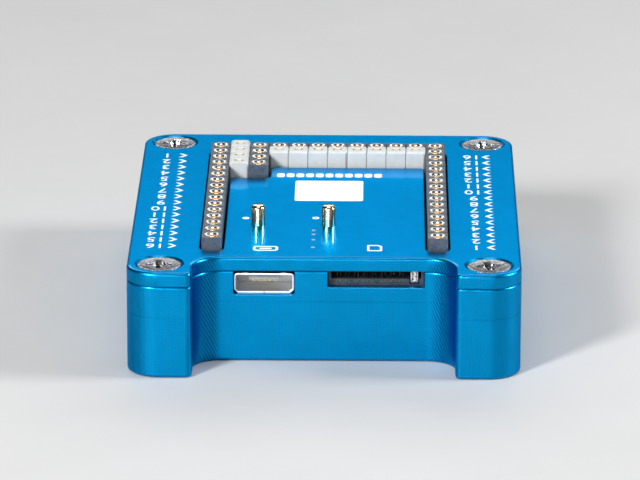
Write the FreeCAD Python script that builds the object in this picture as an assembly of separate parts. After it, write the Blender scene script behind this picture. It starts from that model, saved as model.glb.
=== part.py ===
import FreeCAD, Part
import math
import os

# Microcontroller board in a milled aluminium case, millimetres.
# The origin is the centre of the case's underside, +Z up. The connector side faces -Y.
# Each named piece is one STEP file, and alike small pieces share a file as separate solids.

# ---------------------------------------------------------------- case
CASE_WIDTH = 48.4
CASE_DEPTH = 59.0
CASE_HEIGHT = 13.5
LID_THICKNESS = 1.8
CORNER_RADIUS = 4.0
RECESS_DEPTH = 6.6             # how far the connector wall stands behind the two front lobes
RECESS_HALF_WIDTH = 16.15
RECESS_INNER_RADIUS = 3.6      # concave corners at the back of the recess
RECESS_EDGE_RADIUS = 0.7       # convex corners at its mouth
EDGE_ROUND = 0.4
SEAM_ROUND = 0.25
FLOOR_THICKNESS = 1.8
FRONT_WALL = 2.0               # the notches are cut this deep, well into the board's pocket

# ---------------------------------------------------------------- header grid
PITCH = 2.54
ROW_COUNT = 16
SIDE_COLUMN = 5.5 * PITCH      # the long headers stand eleven pitches apart
GRID_Y = 0.5                   # centre of the header grid, behind the case's centre
BLACK_TOP = 15.0
WHITE_TOP = 15.3
RIM_RADIUS = 0.96              # flared rim of a turned sleeve, flush in the black strips
RIM_THICKNESS = 0.2
LEAD_IN = 0.3                  # depth of the cone that guides a pin into the sleeve
SLEEVE_RADIUS = 0.7
SLEEVE_LENGTH = 3.2
BORE_RADIUS = 0.5
MOUTH_WIDTH = 1.2              # slot over a forked contact, in the white strips
MOUTH_DEPTH = 0.6

# ---------------------------------------------------------------- circuit board
BOARD_WIDTH = 33.8
BOARD_DEPTH = 43.2
BOARD_BOTTOM = 7.0
BOARD_TOP = 8.6
BOARD_GAP = 0.2                # all round, between the board's edge and the pocket
LEDGE = 1.6                    # the board rests on this width of ledge
TAIL_END = 5.4

# ---------------------------------------------------------------- screws
SCREW_INSET = 4.0
SCREW_HEAD_RADIUS = 2.7
SCREW_SHANK_RADIUS = 1.48
SCREW_HOLE_RADIUS = 1.6
THREAD_RADIUS = 1.5
SCREW_SINK = 0.08              # head's top face below the lid's
SCREW_RIM = 0.25               # straight edge of the head above its cone
SCREW_LENGTH = 8.0
SINK_RADIUS = 3.05

# ---------------------------------------------------------------- plungers and switches
PLUNGER_RADIUS = 0.87
PLUNGER_CLEARANCE = 0.05
PLUNGER_PROUD = 2.6
PLUNGER_Y = GRID_Y - 10.2
PLUNGER_X = {"reset": 0.38, "user": -8.44}
FLANGE_RADIUS = 1.5
FLANGE_HEIGHT = 0.5
SWITCH_WIDTH = 3.2
SWITCH_DEPTH = 2.6
SWITCH_HEIGHT = 1.6
SWITCH_PLATE = 0.15

# ---------------------------------------------------------------- connectors and lights
USB_X = -7.44
USB_WIDTH = 7.4
USB_HEIGHT = 2.5
USB_DEPTH = 5.0
USB_WALL = 0.25
USB_MOUTH_Y = GRID_Y - 22.6
CARD_X = 6.37                  # centre of the card slot
CARD_WIDTH = 11.0
CARD_SOCKET_WIDTH = 12.05
CARD_SOCKET_DEPTH = 10.2
CARD_MOUTH_Y = GRID_Y - 22.2
CARD_SILL = 9.6                # lower edge of the case's notch for the card
CARD_FLOOR = 10.4
CARD_ROOF = 11.35
CARD_CONTACT_X = 5.63
CARD_CONTACT_PITCH = 1.1
CARD_METAL = 0.15
LIGHT_X = -1.45
LIGHT_YS = [GRID_Y - 12.5, GRID_Y - 14.1, GRID_Y - 16.3, GRID_Y - 19.3]
LIGHT_RADIUS = 0.25

SEAM_Z = CASE_HEIGHT - LID_THICKNESS
FRONT_Y = -CASE_DEPTH / 2
BACK_Y = CASE_DEPTH / 2
RECESS_Y = FRONT_Y + RECESS_DEPTH
CARD_BACK_Y = CARD_MOUTH_Y + CARD_SOCKET_DEPTH
CARD_LEFT = CARD_X - CARD_SOCKET_WIDTH / 2
CARD_RIGHT = CARD_X + CARD_SOCKET_WIDTH / 2


def box(x0, x1, y0, y1, z0, z1):
    """A box between two corners."""
    return Part.makeBox(x1 - x0, y1 - y0, z1 - z0, FreeCAD.Vector(x0, y0, z0))


def block(x, y, width, depth, z0, z1):
    """A box centred on x, y."""
    return box(x - width / 2, x + width / 2, y - depth / 2, y + depth / 2, z0, z1)


def rod(x, y, radius, z0, z1):
    """An upright cylinder."""
    return Part.makeCylinder(radius, z1 - z0, FreeCAD.Vector(x, y, z0))


def cone(x, y, radius0, radius1, z0, z1):
    """An upright cone."""
    return Part.makeCone(radius0, radius1, z1 - z0, FreeCAD.Vector(x, y, z0))


def rounded_face(corners, place):
    """A flat face whose corners (a, b, radius) are each rounded by an arc; place maps a, b."""
    edges = []
    starts = []
    ends = []
    for index, (a, b, radius) in enumerate(corners):
        corner = FreeCAD.Vector(a, b, 0)
        before = FreeCAD.Vector(corners[index - 1][0], corners[index - 1][1], 0)
        after_corner = corners[(index + 1) % len(corners)]
        after = FreeCAD.Vector(after_corner[0], after_corner[1], 0)
        inward = (before - corner).normalize()
        outward = (after - corner).normalize()
        half_angle = inward.getAngle(outward) / 2
        start = corner + inward * (radius / math.tan(half_angle))
        end = corner + outward * (radius / math.tan(half_angle))
        starts.append(start)
        ends.append(end)
        if radius > 0:
            bisector = (inward + outward).normalize()
            middle = corner + bisector * (radius / math.sin(half_angle) - radius)
            points = [place(p.x, p.y) for p in (start, middle, end)]
            edges.append(Part.Arc(points[0], points[1], points[2]).toShape())
    for index in range(len(corners)):
        line_start = ends[index - 1]
        line_end = starts[index]
        if (line_end - line_start).Length > 1e-6:
            a = place(line_start.x, line_start.y)
            b = place(line_end.x, line_end.y)
            edges.append(Part.LineSegment(a, b).toShape())
    return Part.Face(Part.Wire(Part.__sortEdges__(edges)))


def prism(corners, z0, z1):
    """An upright prism on a rounded outline."""
    face = rounded_face(corners, lambda a, b: FreeCAD.Vector(a, b, z0))
    return face.extrude(FreeCAD.Vector(0, 0, z1 - z0))


def tunnel(corners, y0, y1):
    """A prism along Y on a rounded outline drawn in X and Z."""
    face = rounded_face(corners, lambda a, b: FreeCAD.Vector(a, y0, b))
    return face.extrude(FreeCAD.Vector(0, y1 - y0, 0))


def rectangle(x0, x1, y0, y1, radius):
    """The corners of a rectangle, all with one radius."""
    return [(x0, y0, radius), (x1, y0, radius), (x1, y1, radius), (x0, y1, radius)]


def fuse(shapes):
    """One shape from several that touch or overlap."""
    return shapes[0].multiFuse(shapes[1:]).removeSplitter()


def edges_at(shape, z):
    """The edges that lie wholly at one height."""
    found = []
    for edge in shape.Edges:
        bounds = edge.BoundBox
        if abs(bounds.ZMin - z) < 1e-4 and abs(bounds.ZMax - z) < 1e-4:
            found.append(edge)
    return found


def save(name, shape):
    """Write one node, after checking that it is closed and sound."""
    solids = shape.Solids
    if not solids or not all(solid.isValid() and solid.isClosed() for solid in solids):
        raise RuntimeError(name + " is not a set of closed solids")
    Part.makeCompound(solids).exportStep("parts/" + name + ".step")


# ---------------------------------------------------------------- case pieces
def case_outline():
    """The plan shape shared by the tray and the lid: a rounded block with a recess in front."""
    side = CASE_WIDTH / 2
    return [
        (side, FRONT_Y, CORNER_RADIUS),
        (side, BACK_Y, CORNER_RADIUS),
        (-side, BACK_Y, CORNER_RADIUS),
        (-side, FRONT_Y, CORNER_RADIUS),
        (-RECESS_HALF_WIDTH, FRONT_Y, RECESS_EDGE_RADIUS),
        (-RECESS_HALF_WIDTH, RECESS_Y, RECESS_INNER_RADIUS),
        (RECESS_HALF_WIDTH, RECESS_Y, RECESS_INNER_RADIUS),
        (RECESS_HALF_WIDTH, FRONT_Y, RECESS_EDGE_RADIUS),
    ]


def screw_places():
    """The four corner screws."""
    x = CASE_WIDTH / 2 - SCREW_INSET
    y = CASE_DEPTH / 2 - SCREW_INSET
    return [(-x, -y), (x, -y), (-x, y), (x, y)]


def pocket_outline(inset):
    """The board's outline, grown or shrunk, as the pocket's plan shape."""
    half_width = BOARD_WIDTH / 2 + BOARD_GAP - inset
    half_depth = BOARD_DEPTH / 2 + BOARD_GAP - inset
    return rectangle(-half_width, half_width, GRID_Y - half_depth, GRID_Y + half_depth, 1.5)


def base_tray():
    """Milled tray: thick walls, a ledge for the board, notches for the two connectors."""
    tray = prism(case_outline(), 0, SEAM_Z)
    tray = tray.makeFillet(EDGE_ROUND, edges_at(tray, 0))
    tray = tray.makeFillet(SEAM_ROUND, edges_at(tray, SEAM_Z))
    cuts = [
        prism(pocket_outline(0), BOARD_BOTTOM, SEAM_Z + 1),
        prism(pocket_outline(LEDGE), FLOOR_THICKNESS, BOARD_BOTTOM + 0.1),
        tunnel(rectangle(USB_X - 3.75, USB_X + 3.75, BOARD_TOP - 0.02, SEAM_Z + 2, 0.3),
               RECESS_Y - 1, RECESS_Y + FRONT_WALL),
        tunnel(rectangle(CARD_X - 5.94, CARD_X + 5.94, CARD_SILL, SEAM_Z + 2, 0.15),
               RECESS_Y - 1, RECESS_Y + FRONT_WALL),
        box(CARD_LEFT - 0.15, CARD_RIGHT + 0.15, CARD_MOUTH_Y - 0.25, CARD_BACK_Y,
            BOARD_TOP - 0.1, SEAM_Z + 1),
    ]
    bottom = CASE_HEIGHT - SCREW_SINK - SCREW_LENGTH - 0.5
    for x, y in screw_places():
        cuts.append(rod(x, y, THREAD_RADIUS, bottom, SEAM_Z + 1))
    return tray.cut(Part.makeCompound(cuts)).removeSplitter()


def lid_cut_out():
    """The U-shaped opening for the headers: two slots and a stepped band behind."""
    slot = 1.5
    near = GRID_Y - 21.1
    far = GRID_Y + 20.8
    outer = SIDE_COLUMN + slot
    inner = SIDE_COLUMN - slot
    step_x = -7.3
    step_y = GRID_Y + 9.4
    band_y = GRID_Y + 14.0
    outline = [
        (-outer, near, slot - 0.01),
        (-inner, near, slot - 0.01),
        (-inner, step_y, 0.5),
        (step_x, step_y, 0.8),
        (step_x, band_y, 0.5),
        (inner, band_y, 0.5),
        (inner, near, slot - 0.01),
        (outer, near, slot - 0.01),
        (outer, far, 1.0),
        (-outer, far, 1.0),
    ]
    return prism(outline, SEAM_Z - 1, CASE_HEIGHT + 1)


def lid():
    """Cover plate with countersinks, header opening, and two ribs that hold the board down."""
    plate = prism(case_outline(), SEAM_Z, CASE_HEIGHT)
    plate = plate.makeFillet(EDGE_ROUND, edges_at(plate, CASE_HEIGHT))
    rib_x = BOARD_WIDTH / 2 - 0.6
    for side in (-1, 1):
        rib = block(side * rib_x, GRID_Y, 0.9, 34.0, BOARD_TOP, SEAM_Z)
        plate = plate.fuse(rib)
    cuts = [lid_cut_out()]
    for x, y in screw_places():
        taper = SINK_RADIUS - SCREW_HOLE_RADIUS
        cuts.append(rod(x, y, SCREW_HOLE_RADIUS, SEAM_Z - 1, CASE_HEIGHT))
        cuts.append(cone(x, y, SCREW_HOLE_RADIUS, SINK_RADIUS, CASE_HEIGHT - taper, CASE_HEIGHT))
    for x in PLUNGER_X.values():
        cuts.append(rod(x, PLUNGER_Y, PLUNGER_RADIUS + PLUNGER_CLEARANCE, SEAM_Z - 1, CASE_HEIGHT + 1))
    for y in LIGHT_YS:
        cuts.append(rod(LIGHT_X, y, LIGHT_RADIUS, SEAM_Z - 1, CASE_HEIGHT + 1))
    return plate.cut(Part.makeCompound(cuts)).removeSplitter()


def lid_screw(x, y):
    """Countersunk machine screw with a cross recess; the thread is drawn plain."""
    top = CASE_HEIGHT - SCREW_SINK
    rim = top - SCREW_RIM
    neck = rim - (SCREW_HEAD_RADIUS - SCREW_SHANK_RADIUS)
    head = rod(x, y, SCREW_HEAD_RADIUS, rim, top)
    taper = cone(x, y, SCREW_SHANK_RADIUS, SCREW_HEAD_RADIUS, neck, rim)
    shank = rod(x, y, SCREW_SHANK_RADIUS, top - SCREW_LENGTH, neck)
    screw = fuse([head, taper, shank])
    cross = block(x, y, 3.0, 0.6, top - 1.1, top + 1)
    screw = screw.cut(cross).cut(block(x, y, 0.6, 3.0, top - 1.1, top + 1))
    return screw


def light_windows():
    """Clear plugs in the four light holes of the lid."""
    return Part.makeCompound([rod(LIGHT_X, y, LIGHT_RADIUS, SEAM_Z, CASE_HEIGHT) for y in LIGHT_YS])


# ---------------------------------------------------------------- headers
def grid_place(column, row):
    """Column 0 is the left long header, row 0 is the rearmost socket."""
    x = -SIDE_COLUMN + column * PITCH
    y = GRID_Y + (ROW_COUNT - 1) / 2 * PITCH - row * PITCH
    return x, y


def column_places(column, rows):
    return [grid_place(column, row) for row in rows]


def row_places(row, columns):
    return [grid_place(column, row) for column in columns]


HEADERS = {
    "left_header": ([column_places(0, range(16))], BLACK_TOP),
    "right_header": ([column_places(11, range(16))], BLACK_TOP),
    "aux_white_header": ([column_places(1, range(4))], WHITE_TOP),
    "aux_black_header": ([column_places(2, range(4))], BLACK_TOP),
    "rear_black_header": ([row_places(0, range(3, 7)), row_places(0, range(7, 11))], BLACK_TOP),
    "rear_white_header": ([row_places(1, range(3, 7)), row_places(1, range(7, 11))], WHITE_TOP),
}


def is_turned(top):
    """The black strips hold turned sleeves with clips, the white ones forked contacts."""
    return top == BLACK_TOP


def header_housing(places, top):
    """A socket strip: a chamfered bar with a contact chamber at each place."""
    xs = [x for x, y in places]
    ys = [y for x, y in places]
    half = PITCH / 2 - 0.02
    bar = box(min(xs) - half, max(xs) + half, min(ys) - half, max(ys) + half, BOARD_TOP, top)
    upright = [edge for edge in bar.Edges if edge.BoundBox.ZLength > 1]
    bar = bar.makeChamfer(0.25, upright)
    cuts = []
    for x, y in places:
        if is_turned(top):
            cuts.append(rod(x, y, RIM_RADIUS + 0.01, top - RIM_THICKNESS, top + 1))
            cuts.append(rod(x, y, SLEEVE_RADIUS + 0.01, top - SLEEVE_LENGTH, top))
            cuts.append(rod(x, y, 0.3, BOARD_TOP - 0.1, top))
        else:
            cuts.append(block(x, y, MOUTH_WIDTH, MOUTH_DEPTH, BOARD_TOP + 0.5, top + 1))
            cuts.append(block(x, y, 0.7, 0.4, BOARD_TOP - 0.1, BOARD_TOP + 0.6))
    return bar.cut(Part.makeCompound(cuts))


def contact_sleeve(x, y, top):
    """A turned sleeve with a flared rim, a lead-in and a tail through the board."""
    foot = top - SLEEVE_LENGTH
    body = fuse([
        rod(x, y, RIM_RADIUS, top - RIM_THICKNESS, top),
        rod(x, y, SLEEVE_RADIUS, foot, top),
        rod(x, y, 0.25, TAIL_END, foot + 0.1),
    ])
    lead_in = cone(x, y, BORE_RADIUS, RIM_RADIUS - 0.08, top - LEAD_IN, top)
    return body.cut(lead_in).cut(rod(x, y, BORE_RADIUS, foot + 0.4, top))


def contact_clip(x, y, top):
    """The clip pressed into a sleeve: a collar under the lead-in, and two leaves that grip the pin."""
    high = top - LEAD_IN
    outside = BORE_RADIUS - 0.01
    collar = rod(x, y, outside, high - 0.5, high).cut(rod(x, y, outside - 0.04, high - 1, high + 1))
    leaves = [block(x + side * 0.41, y, 0.12, 0.24, high - 2.2, high - 0.1) for side in (-1, 1)]
    return fuse([collar] + leaves)


def forked_contact(x, y, top):
    """A forked contact: two leaves with lips that flare at the mouth, and a tail through the board."""
    low = BOARD_TOP + 0.5
    lip_top = top - 0.18
    pieces = [block(x, y, 0.9, 0.5, low, low + 0.8), block(x, y, 0.6, 0.3, TAIL_END, low)]
    for side in (-1, 1):
        pieces.append(block(x + side * 0.325, y, 0.25, 0.5, low, lip_top - 0.2))
        pieces.append(block(x + side * 0.425, y, 0.27, 0.44, lip_top - 0.25, lip_top))
    return fuse(pieces)


def solder_joint(x, y, top):
    """The fillet of solder round one tail, under the board."""
    fillet = cone(x, y, 0.4, 0.85, BOARD_BOTTOM - 0.7, BOARD_BOTTOM)
    if is_turned(top):
        return fillet.cut(rod(x, y, 0.25, TAIL_END, BOARD_BOTTOM + 0.1))
    return fillet.cut(block(x, y, 0.6, 0.3, TAIL_END, BOARD_BOTTOM + 0.1))


def all_header_places():
    return [place for strips, top in HEADERS.values() for strip in strips for place in strip]


def save_headers():
    """Each header's housing and contacts, and the solder under them all."""
    joints = []
    for name, (strips, top) in HEADERS.items():
        places = [place for strip in strips for place in strip]
        save(name + "_housing", Part.makeCompound([header_housing(strip, top) for strip in strips]))
        if is_turned(top):
            save(name + "_sleeves", Part.makeCompound([contact_sleeve(x, y, top) for x, y in places]))
            save(name + "_clips", Part.makeCompound([contact_clip(x, y, top) for x, y in places]))
        else:
            save(name + "_contacts", Part.makeCompound([forked_contact(x, y, top) for x, y in places]))
        joints += [solder_joint(x, y, top) for x, y in places]
    save("header_solder_joints", Part.makeCompound(joints))


# ---------------------------------------------------------------- circuit board
def circuit_board():
    """Glass-epoxy board with a plated hole for each header tail."""
    half_depth = BOARD_DEPTH / 2
    outline = rectangle(-BOARD_WIDTH / 2, BOARD_WIDTH / 2, GRID_Y - half_depth, GRID_Y + half_depth, 1.5)
    board = prism(outline, BOARD_BOTTOM, BOARD_TOP)
    holes = [rod(x, y, 0.5, BOARD_BOTTOM - 1, BOARD_TOP + 1) for x, y in all_header_places()]
    return board.cut(Part.makeCompound(holes))


def chip(x, y, width, depth, height, standoff=0.0):
    """A moulded package body with drafted upper edges."""
    body = block(x, y, width, depth, BOARD_TOP + standoff, BOARD_TOP + standoff + height)
    top_edges = edges_at(body, BOARD_TOP + standoff + height)
    return body.makeChamfer(min(0.12, height / 4), top_edges)


def gull_lead(x, y, direction, reach, width, height):
    """One gull-wing lead that leaves a package at x, y along a horizontal direction."""
    along = FreeCAD.Vector(direction[0], direction[1], 0)
    thickness = 0.12
    profile = [
        (0.0, height),
        (reach * 0.4, height),
        (reach * 0.6, thickness),
        (reach, thickness),
        (reach, 0.0),
        (reach * 0.5, 0.0),
        (reach * 0.3, height - thickness),
        (0.0, height - thickness),
    ]
    across = FreeCAD.Vector(-direction[1], direction[0], 0)
    start = FreeCAD.Vector(x, y, BOARD_TOP) - across * (width / 2)
    points = [start + along * a + FreeCAD.Vector(0, 0, z) for a, z in profile]
    face = Part.Face(Part.makePolygon(points + [points[0]]))
    return face.extrude(across * width)


PROCESSOR = (-0.6, GRID_Y + 3.2, 10.0)


def processor_leads():
    """Sixteen leads on each of the four sides."""
    x, y, size = PROCESSOR
    leads = []
    for index in range(16):
        offset = (index - 7.5) * 0.5
        for dx, dy in ((1, 0), (-1, 0), (0, 1), (0, -1)):
            px = x + dx * size / 2 + abs(dy) * offset
            py = y + dy * size / 2 + abs(dx) * offset
            leads.append(gull_lead(px, py, (dx, dy), 1.0, 0.22, 0.8))
    return Part.makeCompound(leads)


def regulator_leads(x, y):
    """Three leads on one side and two on the other."""
    leads = [gull_lead(x + offset, y - 0.8, (0, -1), 0.6, 0.4, 0.7) for offset in (-0.95, 0, 0.95)]
    leads += [gull_lead(x + offset, y + 0.8, (0, 1), 0.6, 0.4, 0.7) for offset in (-0.95, 0.95)]
    return Part.makeCompound(leads)


def end_capped(x, y, width, depth, height):
    """A small ceramic part: a body with a thicker cap at each end."""
    cap = width * 0.2
    body = block(x, y, width - cap, depth * 0.92, BOARD_TOP + 0.02, BOARD_TOP + height * 0.95)
    left = box(x - width / 2, x - width / 2 + cap, y - depth / 2, y + depth / 2,
               BOARD_TOP, BOARD_TOP + height)
    right = left.copy()
    right.translate(FreeCAD.Vector(width - cap, 0, 0))
    return fuse([body, left, right])


def save_board_parts():
    """Packages soldered on the board, under the lid."""
    x, y, size = PROCESSOR
    save("processor_body", chip(x, y, size, size, 1.4, 0.1))
    save("processor_leads", processor_leads())
    save("main_crystal", chip(-9.8, GRID_Y + 4.4, 3.2, 2.5, 0.8))
    save("clock_crystal", chip(9.8, GRID_Y + 0.4, 1.5, 3.2, 0.8))
    save("regulator_body", chip(9.4, GRID_Y + 7.2, 2.9, 1.6, 1.1, 0.05))
    save("regulator_leads", regulator_leads(9.4, GRID_Y + 7.2))
    save("motion_sensor", chip(9.6, GRID_Y - 4.6, 3.0, 3.0, 0.95))
    capacitor_places = [(-10.2, 0.4), (-10.2, -1.6), (-10.2, -3.6), (-4.5, -6.6), (4.2, -6.6), (9.4, 10.6),
                        (5.0, 11.4), (-3.4, 11.4), (0.8, 11.4)]
    resistor_places = [(-10.2, 7.6), (-10.0, -13.6), (-6.4, -13.6), (-10.2, -5.6), (9.6, 4.0), (-1.4, -7.0)]
    capacitors = [end_capped(px, GRID_Y + py, 1.6, 0.8, 0.8) for px, py in capacitor_places]
    resistors = [end_capped(px, GRID_Y + py, 1.6, 0.8, 0.45) for px, py in resistor_places]
    save("ceramic_capacitors", Part.makeCompound(capacitors))
    save("chip_resistors", Part.makeCompound(resistors))
    save("status_leds", Part.makeCompound([end_capped(LIGHT_X, py, 1.6, 0.8, 0.6) for py in LIGHT_YS]))


# ---------------------------------------------------------------- plungers and switches
def plunger(x):
    """Brass push pin: chamfered and dimpled head above the lid, flange caught under it."""
    top = CASE_HEIGHT + PLUNGER_PROUD
    flange_top = SEAM_Z - 0.05
    shaft = rod(x, PLUNGER_Y, PLUNGER_RADIUS, flange_top - FLANGE_HEIGHT, top)
    shaft = shaft.makeChamfer(0.3, edges_at(shaft, top))
    flange = rod(x, PLUNGER_Y, FLANGE_RADIUS, flange_top - FLANGE_HEIGHT, flange_top)
    dimple = cone(x, PLUNGER_Y, 0.0, 0.25, top - 0.15, top)
    return fuse([shaft, flange]).cut(dimple)


def switch_housing(x):
    """Moulded switch base with a chamber for the dome and a bore for the stem."""
    top = BOARD_TOP + SWITCH_HEIGHT
    body = block(x, PLUNGER_Y, SWITCH_WIDTH, SWITCH_DEPTH, BOARD_TOP, top)
    chamber = rod(x, PLUNGER_Y, 1.2, BOARD_TOP + 0.4, top - 0.2)
    bore = rod(x, PLUNGER_Y, 0.9, BOARD_TOP + 0.4, top + 1)
    return body.cut(chamber).cut(bore)


def switch_plate(x):
    """Sheet cover over the switch, with a lug folded down each side."""
    low = BOARD_TOP + SWITCH_HEIGHT
    plate = block(x, PLUNGER_Y, SWITCH_WIDTH + 2 * SWITCH_PLATE, SWITCH_DEPTH, low, low + SWITCH_PLATE)
    lug_x = SWITCH_WIDTH / 2 + SWITCH_PLATE / 2
    left = block(x - lug_x, PLUNGER_Y, SWITCH_PLATE, 1.2, BOARD_TOP, low)
    right = block(x + lug_x, PLUNGER_Y, SWITCH_PLATE, 1.2, BOARD_TOP, low)
    return fuse([plate, left, right]).cut(rod(x, PLUNGER_Y, 0.9, low - 1, low + 1))


def switch_stem(x):
    """Moulded stem between the dome and the plunger's flange, with a collar that keeps it in."""
    top = SEAM_Z - 0.05 - FLANGE_HEIGHT
    collar = BOARD_TOP + 0.95
    return fuse([rod(x, PLUNGER_Y, 0.8, collar, top), rod(x, PLUNGER_Y, 1.05, collar, collar + 0.2)])


def switch_dome(x):
    """Thin snap dome, which springs the stem back."""
    rise = 0.45
    radius = (1.1 ** 2 + rise ** 2) / (2 * rise)
    foot = BOARD_TOP + 0.45
    centre = FreeCAD.Vector(x, PLUNGER_Y, foot + rise - radius)
    shell = Part.makeSphere(radius, centre).cut(Part.makeSphere(radius - 0.1, centre))
    return shell.common(rod(x, PLUNGER_Y, 1.1, foot, foot + 1))


def save_switches():
    for name, x in PLUNGER_X.items():
        save(name + "_plunger", plunger(x))
        save(name + "_switch_housing", switch_housing(x))
        save(name + "_switch_plate", switch_plate(x))
        save(name + "_switch_stem", switch_stem(x))
        save(name + "_switch_dome", switch_dome(x))


# ---------------------------------------------------------------- USB port
def usb_outline(inset):
    """The port's section: square shoulders above, slanted corners below."""
    left = USB_X - USB_WIDTH / 2 + inset
    right = USB_X + USB_WIDTH / 2 - inset
    low = BOARD_TOP + inset
    high = BOARD_TOP + USB_HEIGHT - inset
    slant = 0.45
    return [
        (left + slant, low, 0.3),
        (right - slant, low, 0.3),
        (right, low + slant, 0.3),
        (right, high, 0.4),
        (left, high, 0.4),
        (left, low + slant, 0.3),
    ]


def usb_shell():
    """Folded steel shell, open in front and behind."""
    back = USB_MOUTH_Y + USB_DEPTH
    shell = tunnel(usb_outline(0), USB_MOUTH_Y, back)
    return shell.cut(tunnel(usb_outline(USB_WALL), USB_MOUTH_Y - 1, back + 1))


def usb_tongue():
    """Insulator: a block that closes the shell behind, and a tongue towards the mouth."""
    back = USB_MOUTH_Y + USB_DEPTH
    block_front = back - 1.4
    plug = tunnel(usb_outline(USB_WALL), block_front, back)
    tongue = box(USB_X - 1.9, USB_X + 1.9, USB_MOUTH_Y + 0.5, block_front, 9.95, 10.5)
    return fuse([plug, tongue])


def usb_contacts():
    """Five flat contacts along the underside of the tongue."""
    contacts = []
    for index in range(5):
        x = USB_X + (index - 2) * 0.65
        contacts.append(block(x, USB_MOUTH_Y + 2.1, 0.35, 2.8, 9.83, 9.95))
    return Part.makeCompound(contacts)


# ---------------------------------------------------------------- card socket
SLIDER_LEFT = 10.6
SLIDER_RIGHT = 11.6
SLIDER_LENGTH = 2.6
SLIDER_LOW = 9.85


def card_socket_body():
    """Moulding: a floor under the card, low side walls, a stop behind, a track for the slider."""
    left = CARD_LEFT + CARD_METAL
    right = CARD_RIGHT - CARD_METAL
    body = box(left, right, CARD_MOUTH_Y, CARD_BACK_Y, BOARD_TOP, CARD_ROOF)
    half = CARD_WIDTH / 2 + 0.06
    card = box(CARD_X - half, CARD_X + half, CARD_MOUTH_Y - 1, CARD_BACK_Y - 0.6, CARD_FLOOR, CARD_ROOF + 1)
    track = box(SLIDER_LEFT - 0.1, SLIDER_RIGHT + 0.1, CARD_MOUTH_Y - 1, CARD_BACK_Y - 0.6,
                SLIDER_LOW - 0.1, CARD_ROOF + 1)
    return body.cut(card).cut(track)


def card_socket_cover():
    """Sheet cover over the rear of the socket, folded down both sides."""
    front = CARD_MOUTH_Y + 2.8
    roof = box(CARD_LEFT, CARD_RIGHT, front, CARD_BACK_Y, CARD_ROOF, CARD_ROOF + CARD_METAL)
    left = box(CARD_LEFT, CARD_LEFT + CARD_METAL, front, CARD_BACK_Y, BOARD_TOP, CARD_ROOF)
    right = box(CARD_RIGHT - CARD_METAL, CARD_RIGHT, front, CARD_BACK_Y, BOARD_TOP, CARD_ROOF)
    return fuse([roof, left, right])


def card_socket_contacts():
    """Eight leaves on the floor: a turned-down tip in front, a raised bend where the card rests."""
    leaves = []
    top = CARD_FLOOR + 0.12
    for index in range(8):
        x = CARD_CONTACT_X + (index - 3.5) * CARD_CONTACT_PITCH
        strip = block(x, CARD_MOUTH_Y + 3.9, 0.5, 8.04, CARD_FLOOR, top)
        tip = block(x, CARD_MOUTH_Y - 0.06, 0.5, 0.12, CARD_FLOOR - 0.42, top)
        bend = Part.makeCylinder(0.3, 0.5, FreeCAD.Vector(x - 0.25, CARD_MOUTH_Y + 6.6, CARD_FLOOR + 0.1),
                                 FreeCAD.Vector(1, 0, 0))
        bend = bend.common(block(x, CARD_MOUTH_Y + 6.6, 1, 1, CARD_FLOOR, CARD_FLOOR + 1))
        leaves.append(fuse([strip, tip, bend]))
    return Part.makeCompound(leaves)


def card_slider():
    """Ejector slider beside the card's narrow end: a folded metal channel."""
    front = CARD_MOUTH_Y + 0.2
    outer = box(SLIDER_LEFT, SLIDER_RIGHT, front, front + SLIDER_LENGTH, SLIDER_LOW, CARD_ROOF - 0.1)
    hollow = box(SLIDER_LEFT + 0.2, SLIDER_RIGHT - 0.2, front - 1, front + SLIDER_LENGTH - 0.4,
                 SLIDER_LOW + 0.2, CARD_ROOF + 1)
    return outer.cut(hollow)


def card_slider_spring():
    """Compression spring behind the slider, drawn as the thin sleeve its coils fill."""
    start = CARD_MOUTH_Y + 0.2 + SLIDER_LENGTH
    length = CARD_BACK_Y - 0.6 - start
    x = (SLIDER_LEFT + SLIDER_RIGHT) / 2
    place = FreeCAD.Vector(x, start, SLIDER_LOW + 0.6)
    along = FreeCAD.Vector(0, 1, 0)
    return Part.makeCylinder(0.45, length, place, along).cut(Part.makeCylinder(0.3, length, place, along))


def main():
    os.makedirs("parts", exist_ok=True)
    save("base_tray", base_tray())
    save("lid", lid())
    save("lid_screws", Part.makeCompound([lid_screw(x, y) for x, y in screw_places()]))
    save("light_windows", light_windows())
    save("circuit_board", circuit_board())
    save_headers()
    save_board_parts()
    save_switches()
    save("usb_shell", usb_shell())
    save("usb_tongue", usb_tongue())
    save("usb_contacts", usb_contacts())
    save("card_socket_body", card_socket_body())
    save("card_socket_cover", card_socket_cover())
    save("card_socket_contacts", card_socket_contacts())
    save("card_slider", card_slider())
    save("card_slider_spring", card_slider_spring())


main()
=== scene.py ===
import math

import bmesh
import bpy
from bpy.props import FloatProperty, FloatVectorProperty, IntProperty, PointerProperty
from mathutils import Matrix, Vector


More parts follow.
